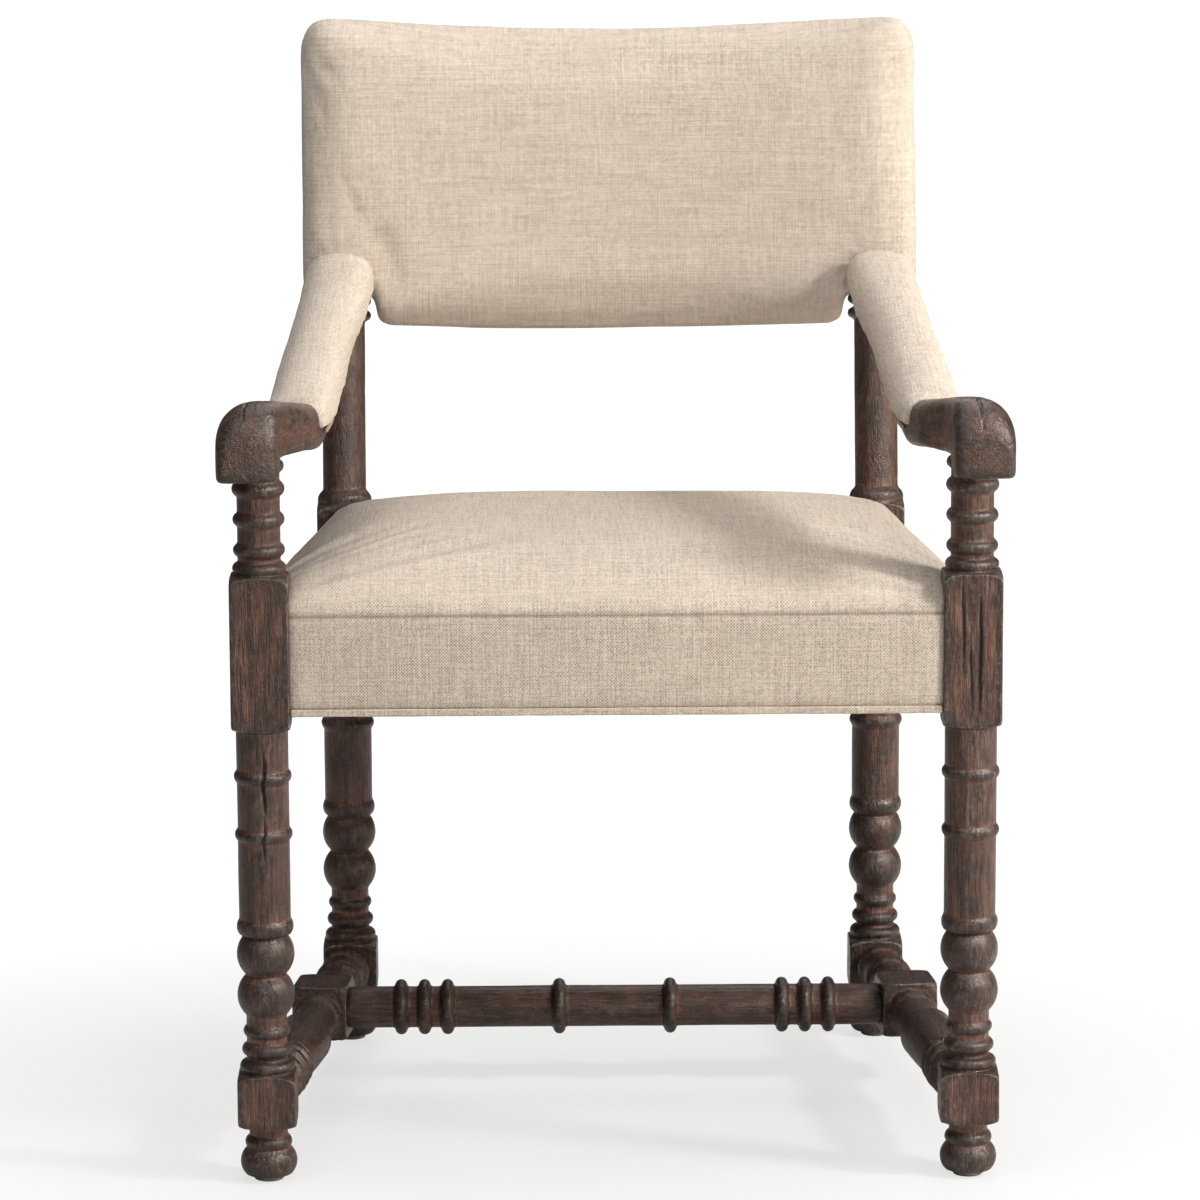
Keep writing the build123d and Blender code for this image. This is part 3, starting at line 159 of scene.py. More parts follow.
def link(name, data):
    """A new object in the scene, with a mesh, light or camera."""
    obj = bpy.data.objects.new(name, data)
    scene.collection.objects.link(obj)
    return obj


def from_rings(name, rings):
    """A closed mesh through rings of points, all of one count."""
    count = len(rings[0])
    points = [tuple(p) for ring in rings for p in ring]
    faces = []
    for r in range(len(rings) - 1):
        for i in range(count):
            j = (i + 1) % count
            faces.append((r * count + i, r * count + j, (r + 1) * count + j, (r + 1) * count + i))
    faces.append(tuple(range(count - 1, -1, -1)))
    faces.append(tuple((len(rings) - 1) * count + i for i in range(count)))
    mesh = bpy.data.meshes.new(name)
    mesh.from_pydata(points, [], faces)
    bm = bmesh.new()
    bm.from_mesh(mesh)
    bmesh.ops.recalc_face_normals(bm, faces=bm.faces)
    bm.to_mesh(mesh)
    bm.free()
    return link(name, mesh)


def copy_of(name, source):
    """An object with a copy of a CAD node's mesh."""
    bm = bmesh.new()
    bm.from_mesh(nodes[source].data)
    bmesh.ops.remove_doubles(bm, verts=bm.verts, dist=1e-6)
    mesh = bpy.data.meshes.new(name)
    bm.to_mesh(mesh)
    bm.free()
    return link(name, mesh)


def apply_all(obj):
    """Apply the object's modifiers to its mesh."""
    dg = bpy.context.evaluated_depsgraph_get()
    dg.update()
    mesh = bpy.data.meshes.new_from_object(obj.evaluated_get(dg))
    old = obj.data
    obj.modifiers.clear()
    obj.data = mesh
    mesh.name = obj.name
    bpy.data.meshes.remove(old)
    return mesh


def voxels(obj, size):
    m = obj.modifiers.new("remesh", "REMESH")
    m.mode = "VOXEL"
    m.voxel_size = size
    m.adaptivity = 0
    return apply_all(obj)


def soft_voxels(obj, size, rounds, share=0.5):
    """Remesh an object evenly and round it off."""
    mesh = voxels(obj, size)
    set_co(mesh, relax(get_co(mesh), get_edges(mesh), rounds, share))
    return mesh


def cut_with(obj, cutters):
    for cutter in cutters:
        m = obj.modifiers.new("cut", "BOOLEAN")
        m.operation = "DIFFERENCE"
        m.solver = "EXACT"
        m.object = cutter
    apply_all(obj)
    for cutter in cutters:
        bpy.data.meshes.remove(cutter.data)


def box_mesh(name, low, high):
    rings = []
    for z in (low[2], high[2]):
        corners = ((low[0], low[1]), (high[0], low[1]), (high[0], high[1]), (low[0], high[1]))
        rings.append([(x, y, z) for x, y in corners])
    return from_rings(name, rings)


def push(mesh, depth):
    """Move each vertex along its normal."""
    set_co(mesh, get_co(mesh) + get_normals(mesh) * depth[:, None])


def puff(obj, held, cap):
    """Swell a cushion by cloth simulation. held is 0 to 1 per vertex, cap the furthest a point may move."""
    group = obj.vertex_groups.new(name="held")
    for level in np.unique(np.round(held, 2)):
        if level > 0:
            index = np.nonzero(np.round(held, 2) == level)[0]
            group.add([int(i) for i in index], float(level), "REPLACE")
    before = get_co(obj.data)
    m = obj.modifiers.new("cloth", "CLOTH")
    s = m.settings
    s.quality = 5
    s.mass = 0.3
    s.tension_stiffness = 20
    s.compression_stiffness = 15
    s.shear_stiffness = 8
    s.bending_stiffness = 0.6
    s.use_pressure = True
    s.uniform_pressure_force = CLOTH_PRESSURE
    s.vertex_group_mass = "held"
    s.pin_stiffness = 1.0
    s.effector_weights.gravity = 0
    m.collision_settings.use_collision = False
    m.collision_settings.use_self_collision = False
    for f in range(1, CLOTH_FRAMES + 1):
        scene.frame_set(f)
    apply_all(obj)
    scene.frame_set(1)
    move = get_co(obj.data) - before
    length = np.linalg.norm(move, axis=1)
    limited = np.minimum(length, cap * np.tanh(length / cap))
    move *= np.where(length > 1e-9, limited / np.maximum(length, 1e-9), 0)[:, None]
    set_co(obj.data, before + move * (1 - held)[:, None])
    obj.vertex_groups.clear()


def subdivide(obj):
    m = obj.modifiers.new("finer", "SUBSURF")
    m.levels = m.render_levels = 1
    return apply_all(obj)


def set_material(mesh, material):
    mesh.materials.clear()
    mesh.materials.append(material)


def place(obj, material, slot, *replaced, smooth=True):
    """Give a piece its material, and put it on the frame in the place of CAD nodes."""
    set_material(obj.data, material)
    if smooth:
        obj.data.shade_smooth()
    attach(obj, "root")
    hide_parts(*replaced)


# Shader tools
class Nodes:
    def __init__(self, name):
        self.material = bpy.data.materials.new(name)
        self.material.use_nodes = True
        self.tree = self.material.node_tree
        self.tree.nodes.clear()
        self.out = self.tree.nodes.new("ShaderNodeOutputMaterial")
        self.shader = self.tree.nodes.new("ShaderNodeBsdfPrincipled")
        self.tree.links.new(self.shader.outputs[0], self.out.inputs[0])
        self.place = self.node("ShaderNodeTexCoord").outputs["Object"]

    def node(self, kind, **values):
        n = self.tree.nodes.new(kind)
        for key, value in values.items():
            setattr(n, key, value)
        return n

    def put(self, socket, value):
        if isinstance(value, bpy.types.NodeSocket):
            self.tree.links.new(value, socket)
        else:
            socket.default_value = value

    def math(self, kind, a, b=0.0):
        n = self.node("ShaderNodeMath", operation=kind)
        self.put(n.inputs[0], a)
        self.put(n.inputs[1], b)
        return n.outputs[0]

    def sum(self, *parts):
        """The sum of pairs of a value and its weight."""
        total = None
        for value, weight in parts:
            part = self.math("MULTIPLY", value, weight)
            total = part if total is None else self.math("ADD", total, part)
        return total

    def scaled(self, scale, shift=(0, 0, 0)):
        n = self.node("ShaderNodeMapping")
        self.put(n.inputs["Vector"], self.place)
        n.inputs["Scale"].default_value = scale
        n.inputs["Location"].default_value = shift
        return n.outputs[0]

    def noise(self, scale, detail=3.0, rough=0.5, shift=(0, 0, 0), distortion=0.0):
        n = self.node("ShaderNodeTexNoise")
        self.put(n.inputs["Vector"], self.scaled(scale, shift=shift))
        n.inputs["Scale"].default_value = 1.0
        n.inputs["Detail"].default_value = detail
        n.inputs["Roughness"].default_value = rough
        n.inputs["Distortion"].default_value = distortion
        return n.outputs["Fac"]

    def ramp(self, value, *stops):
        n = self.node("ShaderNodeValToRGB")
        self.put(n.inputs[0], value)
        elements = n.color_ramp.elements
        while len(elements) < len(stops):
            elements.new(0.5)
        for element, (at, color) in zip(elements, stops):
            element.position = at
            element.color = (*color, 1)
        return n.outputs[0]

    def range(self, value, low, high, to_low=0.0, to_high=1.0):
        n = self.node("ShaderNodeMapRange")
        self.put(n.inputs[0], value)
        for i, v in enumerate((low, high, to_low, to_high), 1):
            self.put(n.inputs[i], v)
        return n.outputs[0]

    def mix(self, factor, a, b):
        n = self.node("ShaderNodeMix", data_type="RGBA")
        self.put(n.inputs[0], factor)
        for socket, value in ((n.inputs[6], a), (n.inputs[7], b)):
            self.put(socket, (*value, 1) if isinstance(value, tuple) else value)
        return n.outputs[2]

    def attribute(self, name):
        return self.node("ShaderNodeAttribute", attribute_name=name).outputs["Fac"]

    def bump(self, height, distance, strength=1.0):
        n = self.node("ShaderNodeBump")
        n.inputs["Strength"].default_value = strength
        n.inputs["Distance"].default_value = distance
        self.put(n.inputs["Height"], height)
        return n.outputs[0]

    def done(self, **values):
        for key, value in values.items():
            self.put(self.shader.inputs[key.replace("_", " ")], value)
        return self.material


def toned(color, share):
    """A colour made darker or lighter."""
    return tuple(share * c for c in color)


# Colours of the old timber: each ramp from its dark to its light grain
BROWN_RAMP = (
    (0.32, (0.018, 0.0072, 0.0042)),
    (0.50, (0.066, 0.0295, 0.0185)),
    (0.68, (0.165, 0.087, 0.058)),
)
RED_RAMP = (
    (0.32, (0.070, 0.0230, 0.0120)),
    (0.50, (0.190, 0.0760, 0.0440)),
    (0.68, (0.330, 0.170, 0.110)),
)
GREY_RAMP = (
    (0.36, (0.014, 0.0085, 0.0065)),
    (0.52, (0.046, 0.0290, 0.0230)),
    (0.66, (0.150, 0.107, 0.088)),
)
PORE_COLOR = (0.018, 0.0115, 0.0095)
LIME_COLOR = (0.46, 0.40, 0.36)
HAZE_COLOR = (0.30, 0.25, 0.225)
PALE_SPECK_COLOR = (0.34, 0.28, 0.245)
DARK_SPECK_COLOR = (0.014, 0.009, 0.008)
RUBBED_COLOR = (0.46, 0.37, 0.32)
# painted shade: the colour laid into the grooves between rings and the concave joins, in place of the shade
# that the softened mesh loses
GROOVE_SHADE_COLOR = (0.010, 0.006, 0.005)
CRACK_COLOR = (0.005, 0.0035, 0.003)


def timber_material(axis):
    """Dark, limewashed and worn timber, with its grain along an axis."""
    m = Nodes("timber_" + AXES[axis])
    shift = (2.3 * axis,) * 3
    blotch_shift = (2.3 * axis + 4,) * 3
    grain = m.noise(along(axis, 330, 20), 5.0, 0.62, shift, 1.3)
    pores = m.noise(along(axis, 1150, 60), 3.0, 0.6, shift, 0.5)
    patch = m.noise(along(axis, 30, 11), 4.0, 0.6, shift)
    blotch = m.noise(along(axis, 75, 36), 4.0, 0.65, blotch_shift)
    mottle = m.noise(along(axis, 240, 120), 4.0, 0.7, shift)
    speck = m.noise((1000, 1000, 1000), 3.0, 0.7, shift)
    streak = m.noise(along(axis, 620, 11), 5.0, 0.72, shift, 0.3)
    relief = m.attribute("relief")
    # how convex the surface is: high on arrises, which get rubbed wear, and low in grooves, which get
    # painted shade
    wear_and_groove_shade = m.attribute("wear_and_groove_shade")
    crack = m.attribute("crack")
    lime_share = m.attribute("lime")
    brown = m.ramp(grain, *BROWN_RAMP)
    red = m.ramp(grain, *RED_RAMP)
    grey = m.ramp(mottle, *GREY_RAMP)
    color = m.mix(m.range(blotch, 0.40, 0.60, 0.0, 0.75), brown, red)
    color = m.mix(m.range(patch, 0.44, 0.62, 0.0, 0.40), color, grey)
    color = m.mix(m.range(relief, -0.02, -0.40, 0.0, 0.95), color, red)
    color = m.mix(m.range(relief, 0.10, 0.60, 0.0, 0.75), color, grey)
    color = m.mix(m.range(pores, 0.42, 0.32, 0.0, 0.75), color, PORE_COLOR)
    lime = m.math("MULTIPLY", m.range(streak, 0.54, 0.66), m.range(blotch, 0.44, 0.60))
    color = m.mix(m.math("MULTIPLY", lime, lime_share), color, LIME_COLOR)
    haze = m.math("MULTIPLY", m.range(mottle, 0.54, 0.66), m.math("MULTIPLY", lime_share, 0.35))
    color = m.mix(haze, color, HAZE_COLOR)
    color = m.mix(m.range(speck, 0.64, 0.72, 0.0, 0.45), color, PALE_SPECK_COLOR)
    color = m.mix(m.range(speck, 0.36, 0.29, 0.0, 0.75), color, DARK_SPECK_COLOR)
    rub = m.math("MULTIPLY", m.range(wear_and_groove_shade, 0.7, 1.6), m.range(mottle, 0.40, 0.56, 0.15, 0.95))
    color = m.mix(rub, color, RUBBED_COLOR)
    # painted shade: darker in the grooves and concave joins, where the surface curves inward
    color = m.mix(m.range(wear_and_groove_shade, -0.20, -0.90, 0.0, 0.95), color, GROOVE_SHADE_COLOR)
    color = m.mix(m.range(crack, 0.1, 0.7), color, CRACK_COLOR)
    height = m.sum((grain, 0.5), (pores, 0.35), (speck, 0.3), (mottle, 0.9))
    sheen = m.sum((grain, 0.4), (mottle, 0.6))
    m.done(Coat_Weight=0.5, Coat_IOR=1.5, Coat_Roughness=0.16, Coat_Normal=m.bump(height, 0.0007, 0.8))
    m.done(Roughness=m.range(sheen, 0.36, 0.64, 0.24, 0.50), Specular_IOR_Level=0.6)
    return m.done(Base_Color=color, Normal=m.bump(height, 0.0019, 0.9))


def plain_timber_material(axis):
    """Planed pale timber, for the frame inside the upholstery."""
    m = Nodes("plain_timber_" + AXES[axis])
    grain = m.noise(along(axis, 160, 6), 5.0, 0.6, distortion=0.6)
    pores = m.noise(along(axis, 1400, 60), 2.0, 0.6)
    color = m.ramp(grain, (0.3, (0.36, 0.24, 0.13)), (0.5, (0.50, 0.36, 0.21)), (0.7, (0.60, 0.46, 0.29)))
    color = m.mix(m.range(pores, 0.56, 0.7, 0, 0.5), color, (0.25, 0.16, 0.09))
    rough = m.range(grain, 0.3, 0.7, 0.5, 0.7)
    return m.done(Base_Color=color, Roughness=rough, Normal=m.bump(pores, 0.0004, 0.5))


# The linen's threads to a metre, and its colours
THREADS = 720.0
LINEN_TONE = (0.655, 0.578, 0.508)
LINEN_SHADE = (0.370, 0.303, 0.244)
LINEN_LIGHT = toned(LINEN_TONE, 1.30)


def weave_on(m, flat):
    """The linen's weave on the plane across one axis: slubby threads both ways, and their crossings."""
    u, v = [i for i in range(3) if i != flat]
    warp_scale, weft_scale, cell_scale = [8.0] * 3, [8.0] * 3, [0.0] * 3
    warp_scale[u], warp_scale[v] = 520.0, 22.0
    weft_scale[u], weft_scale[v] = 20.0, 500.0
    cell_scale[u] = cell_scale[v] = THREADS
    warp = m.noise(tuple(warp_scale), 3.0, 0.62)
    weft = m.noise(tuple(weft_scale), 3.0, 0.62, (3.1, 5.3, 7.7))
    cell = m.node("ShaderNodeVectorMath", operation="FLOOR")
    m.put(cell.inputs[0], m.scaled(tuple(cell_scale), shift=(0.31, 0.31, 0.31)))
    crossing = m.node("ShaderNodeTexWhiteNoise", noise_dimensions="3D")
    m.put(crossing.inputs["Vector"], cell.outputs[0])
    over = m.node("ShaderNodeVectorMath", operation="DOT_PRODUCT")
    m.put(over.inputs[0], cell.outputs[0])
    over.inputs[1].default_value = (1, 1, 1)
    parity = m.math("ABSOLUTE", m.math("MODULO", over.outputs["Value"], 2.0))
    return m.sum((parity, 0.46), (crossing.outputs["Value"], 0.44), (m.math("ADD", warp, weft), 0.82))


def linen_material(name, seam=False):
    """Slubby linen in a plain weave, laid on by the three planes of the row frame."""
    m = Nodes(name)
    parts = m.node("ShaderNodeSeparateXYZ")
    m.put(parts.inputs[0], m.node("ShaderNodeNewGeometry").outputs["Normal"])
    facing = [m.math("POWER", m.math("ABSOLUTE", parts.outputs[i]), 6.0) for i in range(3)]
    total = m.math("ADD", m.math("ADD", facing[0], facing[1]), facing[2])
    weave = m.sum(*[(weave_on(m, i), m.math("DIVIDE", facing[i], total)) for i in range(3)])
    cloud = m.noise((6, 6, 6), 3.0, 0.55)
    fleck = m.noise((300, 300, 300), 3.0, 0.7)
    half = m.math("MULTIPLY", weave, 0.5)
    color = m.ramp(half, (0.31, LINEN_SHADE), (0.58, LINEN_TONE), (0.84, LINEN_LIGHT))
    color = m.mix(m.range(fleck, 0.66, 0.76, 0, 0.25), color, toned(LINEN_SHADE, 0.75))
    color = m.mix(m.range(cloud, 0.35, 0.65, 0.0, 0.08), color, LINEN_SHADE)
    # with seam on, the seam attribute darkens the linen along it: painted shade in the seam's crease
    if seam:
        seam_shade = m.math("MULTIPLY", m.attribute("seam"), 0.55)
        color = m.mix(seam_shade, color, toned(LINEN_SHADE, 0.5))
    m.done(Sheen_Weight=0.12, Sheen_Roughness=0.5, Specular_IOR_Level=0.15)
    return m.done(Base_Color=color, Roughness=0.95, Normal=m.bump(weave, 0.0010, 0.8))


def weave_material(name, light, dark, pitch):
    """A coarse plain weave, for webbing, hessian, bands and lining cloth."""
    m = Nodes(name)
    parts = m.node("ShaderNodeSeparateXYZ")
    m.put(parts.inputs[0], m.place)
    waves = [m.math("SINE", m.math("MULTIPLY", parts.outputs[i], 2 * math.pi / pitch)) for i in range(3)]
    weave = m.sum((m.math("MULTIPLY", waves[0], waves[1]), 0.5), (waves[2], 0.3))
    fuzz = m.noise((900, 900, 900), 3.0, 0.7)
    tone = m.math("ADD", m.math("MULTIPLY", weave, 0.35), fuzz)
    mid = tuple((a + b) / 2 for a, b in zip(light, dark))
    color = m.ramp(tone, (0.30, dark), (0.55, mid), (0.80, light))
    return m.done(Base_Color=color, Roughness=0.85, Normal=m.bump(tone, pitch / 4, 0.7))


def steel_material():
    m = Nodes("steel")
    brushed = m.noise((900, 60, 900), 3.0, 0.6)
    tarnish = m.noise((70, 70, 70), 3.0, 0.6)
    color = m.mix(m.range(tarnish, 0.5, 0.7, 0, 0.6), (0.55, 0.54, 0.52), (0.28, 0.25, 0.22))
    rough = m.range(brushed, 0.3, 0.7, 0.28, 0.5)
    return m.done(Base_Color=color, Metallic=1.0, Roughness=rough, Normal=m.bump(brushed, 0.0002, 0.4))


def moulded_material(name, color):
    m = Nodes(name)
    grain = m.noise((1800, 1800, 1800), 3.0, 0.6)
    scuff = m.noise((60, 60, 300), 4.0, 0.65)
    scuffed = tuple(min(1, 2.2 * c + 0.03) for c in color)
    tint = m.mix(m.range(scuff, 0.5, 0.7, 0, 0.45), color, scuffed)
    rough = m.range(scuff, 0.3, 0.7, 0.4, 0.65)
    return m.done(Base_Color=tint, Roughness=rough, Normal=m.bump(grain, 0.0002, 0.5))


# Cracks: start and end on the surface, half width, depth and the axis that the surface faces
CRACKS = {
    "front_leg_left": [
        ((-0.3065, -0.286, 0.395), (-0.3060, -0.286, 0.325), 0.0011, 0.0030, 1),
        ((-0.3060, -0.286, 0.335), (-0.3075, -0.286, 0.285), 0.0009, 0.0022, 1),
    ],
    "front_leg_right": [
        ((0.2990, -0.288, 0.540), (0.3000, -0.288, 0.450), 0.0008, 0.0020, 1),
        ((0.3150, -0.288, 0.530), (0.3140, -0.288, 0.415), 0.0010, 0.0024, 1),
        ((0.3060, -0.288, 0.490), (0.3070, -0.288, 0.410), 0.0007, 0.0018, 1),
    ],
    "cross_stretcher": [((-0.050, 0.045, 0.072), (0.050, 0.045, 0.079), 0.0009, 0.0026, 1)],
    "arm_right": [
        ((0.3120, -0.325, 0.70), (0.3100, -0.262, 0.70), 0.0009, 0.0022, 2),
        ((0.3200, -0.300, 0.70), (0.3170, -0.250, 0.70), 0.0007, 0.0016, 2),
    ],
    "arm_left": [((-0.3180, -0.318, 0.70), (-0.3140, -0.270, 0.70), 0.0007, 0.0014, 2)],
}

# Turned pieces: name, axis of the grain, share of lime and size of the mesh
TURNED = (
    ("front_leg_left", 2, 0.28, 0.0011),
    ("front_leg_right", 2, 0.55, 0.0011),
    ("rear_leg_left", 2, 0.15, 0.0014),
    ("rear_leg_right", 2, 0.30, 0.0014),
    ("side_stretcher_left", 1, 0.20, 0.0013),
    ("side_stretcher_right", 1, 0.30, 0.0013),
    ("cross_stretcher", 0, 0.30, 0.0011),
)
ARM_VOXEL, ARM_LIME, ARM_ROUNDING = 0.0015, 0.18, 14
ARM_CENTRE = FRONT_X + 0.006
HAND_HALF, HAND_SLOPE, HAND_DEPTH = 0.030, 0.008, 0.040


def carved_hand(co, edges):
    """The arm with its arrises rounded, and the hand's front sloped back towards the seat."""
    co = relax(co, edges, ARM_ROUNDING, 0.5)
    sign = math.copysign(1, co[0, 0])
    inward = np.clip((ARM_CENTRE - sign * co[:, 0]) / HAND_HALF, 0, 1)
    hand_front = co[:, 1].min()
    co[:, 1] += HAND_SLOPE * inward**2 * (1 - step(co[:, 1], hand_front, hand_front + HAND_DEPTH))
    return co


def cut_cracks(name, co, normals, seed):
    """How deep the piece's cracks go at each vertex, and how much of a crack it is."""
    depth = np.zeros(len(co))
    crack = np.zeros(len(co))
    for start, end, half, deep, facing in CRACKS.get(name, []):
        a, b = np.array(start), np.array(end)
        run = b - a
        t = np.clip((co - a) @ run / (run @ run), 0, 1)
        track = np.stack([t * 9, np.full(len(t), half * 900), np.zeros(len(t))], 1)
        wander = 0.0016 * noise(track, 1, seed + 31)
        outward = -normals[:, 1] if facing == 1 else normals[:, 2]
        side = np.cross(run / np.linalg.norm(run), np.eye(3)[facing])
        nearest = a + t[:, None] * run + wander[:, None] * side
        away = co - nearest
        away[:, facing] *= 0.25 if facing == 1 else 0.0
        gap = np.linalg.norm(away, axis=1) / (half * (0.35 + np.sin(np.pi * t)))
        hit = np.clip(1 - gap / 1.6, 0, 1) * (outward > -0.2 if facing == 1 else outward > 0.3)
        crack = np.maximum(crack, hit)
        depth += deep * step(hit, 0, 0.8)
    return depth, crack


def timber(name, axis, lime, voxel, seed, carve=None):
    """A CAD timber piece with softened arrises, open grain, dents and cracks."""
    obj = copy_of(name + "_wood", name)
    mesh = voxels(obj, voxel)
    co = get_co(mesh)
    edges = get_edges(mesh)
    if carve:
        co = carve(co, edges)
    set_co(mesh, co)
    normals = get_normals(mesh)
    near = relax(co, edges, 3)
    far = relax(near, edges, int(26 * (0.0016 / voxel) ** 2))
    edge = np.einsum("ij,ij->i", co - near, normals) / (voxel * 0.16)
    relief = np.einsum("ij,ij->i", near - far, normals) / 0.0011
    edge = relax(edge, edges, 1)
    grain = rough_noise(co, along(axis, 150, 8), seed)
    fine = noise(co, along(axis, 480, 24), seed + 9)
    dents = noise(co, (85, 85, 85), seed + 17)
    uneven = noise(co, (26, 26, 26), seed + 23)
    depth = 0.00010 * grain + 0.00008 * fine + 0.00014 * uneven
    depth -= 0.00055 * step(grain, 0.36, 0.75)
    depth -= 0.00035 * step(dents, 0.66, 0.92)
    depth -= 0.00050 * step(edge, 0.9, 2.0) * (0.3 + 0.7 * step(dents, -0.4, 0.6))
    crack_depth, crack = cut_cracks(name, co, normals, seed)
    set_co(mesh, co + normals * (depth - crack_depth)[:, None])
    limed = step(noise(co, along(axis, 26, 7), seed + 51), -0.3, 0.5)
    attribute(mesh, "relief", np.clip(relief, -1.5, 1.5))
    # convex side drives the rubbed arrises, concave side the painted shade in the grooves
    attribute(mesh, "wear_and_groove_shade", np.clip(edge, -3, 3))
    attribute(mesh, "crack", crack)
    attribute(mesh, "lime", lime * (0.55 + 0.45 * limed))
    place(obj, timbers[axis], "timber", name)


timbers = [timber_material(axis) for axis in range(3)]
for index, (name, axis, lime, voxel) in enumerate(TURNED):
    timber(name, axis, lime, voxel, 40 * index)
for index, (_, side) in enumerate(SIDES):
    timber("arm_" + side, 1, ARM_LIME, ARM_VOXEL, 300 + 40 * index, carved_hand)

linen = linen_material("linen")
linen_seam = linen_material("linen_seamed", seam=True)

# Seat cushion: its outline comes from the CAD cover, its crown from shares of height and rounding
SEAT_LOW, SEAT_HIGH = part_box("seat_cover")
BAND_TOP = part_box("seat_welt")[1][2]
SEAM = 0.507
CROWN_HEIGHT = 0.0465
SEAT_PROUD = 0.012
SEAT_CORNER = 0.0036
BAND_OVERLAP = 0.0035
WALL_MIDDLE = 0.47
POST_CUT = 0.0228
POST_REACH = 0.0262
FRONT_ROUND, SIDE_ROUND, REAR_ROUND, CORNER_ROUND = 0.1, 0.1, 0.2, 0.098
CROWN_SHARES = (0, 0.11, 0.22, 0.34, 0.46, 0.58, 0.69, 0.79, 0.87, 0.93, 0.97, 1)
CROWN_FRONT_SHARES = (0, 0.021, 0.048, 0.086, 0.132, 0.188, 0.249, 0.321, 0.414, 0.541, 0.741, 1)
CROWN_SIDE_SHARES = (0, 0.023, 0.053, 0.093, 0.143, 0.206, 0.282, 0.377, 0.475, 0.593, 0.773, 1)
CROWN_REAR_SHARES = (0, 0.024, 0.053, 0.089, 0.14, 0.221, 0.335, 0.493, 0.614, 0.725, 0.857, 1)
CROWN_CORNER_SHARES = (0.04, 0.12, 0.24, 0.37, 0.51, 0.64, 0.76, 0.86, 0.92, 0.96, 0.98, 1)


def side_x(y, offset):
    return FRONT_X - (y - FRONT_Y) * TAPER + offset * SECANT


def rounded(corners, radius, steps=10):
    """A closed ring with its corners rounded."""
    ring = []
    count = len(corners)
    for i, corner in enumerate(corners):
        c = np.array(corner, float)
        a = np.array(corners[i - 1], float) - c
        b = np.array(corners[(i + 1) % count], float) - c
        a /= np.linalg.norm(a)
        b /= np.linalg.norm(b)
        half = math.acos(np.clip(a @ b, -1, 1)) / 2
        mid = a + b
        centre = c + mid / np.linalg.norm(mid) * radius / math.sin(half)
        start = c + a * radius / math.tan(half) - centre
        end = c + b * radius / math.tan(half) - centre
        for k in range(steps + 1):
            t = k / steps
            d = start * (1 - t) + end * t
            ring.append(centre + d / np.linalg.norm(d) * radius)
    return ring


def seat_ring(z, front=0.0, side=0.0, rear=0.0, corner=SEAT_CORNER):
    """The seat's outline at a height, drawn in at the front, sides and rear."""
    low, high = SEAT_LOW[1] + front, SEAT_HIGH[1] - rear
    low_x, high_x = side_x(low, SEAT_PROUD - side), side_x(high, SEAT_PROUD - side)
    ring = rounded([(-low_x, low), (low_x, low), (high_x, high), (-high_x, high)], corner)
    return [(p[0], p[1], z) for p in ring]


def seat_body():
    """The seat between its band and its crown, cut round the four posts."""
    rings = [seat_ring(BAND_TOP - BAND_OVERLAP), seat_ring(WALL_MIDDLE)]
    shares = (CROWN_SHARES, CROWN_FRONT_SHARES, CROWN_SIDE_SHARES, CROWN_REAR_SHARES, CROWN_CORNER_SHARES)
    for up, front, side, rear, corner in zip(*shares):
        inset = (front * FRONT_ROUND, side * SIDE_ROUND, rear * REAR_ROUND, corner * CORNER_ROUND)
        rings.append(seat_ring(SEAM + up * CROWN_HEIGHT, *inset))
    seat = from_rings("seat_cushion", rings)
    blocks = []
    for x, y in POSTS:
        low = (x - POST_CUT, y - POST_CUT, 0.3)
        high = (x + POST_CUT, y + POST_CUT, 0.7)
        blocks.append(box_mesh("block", low, high))
    cut_with(seat, blocks)
    return seat


def held_seat(co):
    """The seat cover is held below its seam and round the posts."""
    held = 1 - step(co[:, 2], SEAM - 0.012, SEAM + 0.012)
    near_leg = np.full(len(co), 1.0)
    for x, y in POSTS:
        reach = np.maximum(np.abs(co[:, 0] - x), np.abs(co[:, 1] - y)) - POST_REACH
        near_leg = np.minimum(near_leg, np.clip(reach / 0.02, 0, 1))
    return np.maximum(held, 1 - near_leg)


def make_seat():
    seat = seat_body()
    mesh = soft_voxels(seat, 0.005, 3)
    puff(seat, held_seat(get_co(mesh)), SEAT_SWELL)
    mesh = subdivide(seat)
    co = get_co(mesh)
    normals = get_normals(mesh)
    top = step(co[:, 2], SEAM, SEAM + 0.02)
    wall = step(np.abs(normals[:, 2]), 0.8, 0.3)
    line = ridge(co[:, 2], SEAM, 0.0016) * wall
    swell = 0.0011 * noise(co, (9, 9, 9), 3) + 0.0004 * noise(co, (34, 34, 34), 5)
    pull = 0.0005 * noise(co, (110, 110, 20), 7) * ridge(co[:, 2], SEAM, 0.012)
    pleats = np.zeros(len(co))
    for x, y in POSTS:
        dx, dy = co[:, 0] - x, co[:, 1] - y
        fade = ridge(np.hypot(dx, dy), 0.03, 0.035) * top
        pleats += 0.0003 * np.sin(np.arctan2(dy, dx) * 17 + 3 * x) * fade
    push(mesh, swell * (0.35 + 0.65 * top) - 0.0012 * line + pull + pleats)
    # the seam attribute carries the painted shade along the seat's seam crease
    attribute(mesh, "seam", line)
    place(seat, linen_seam, "linen", "seat_cover", "seat_foam")


make_seat()

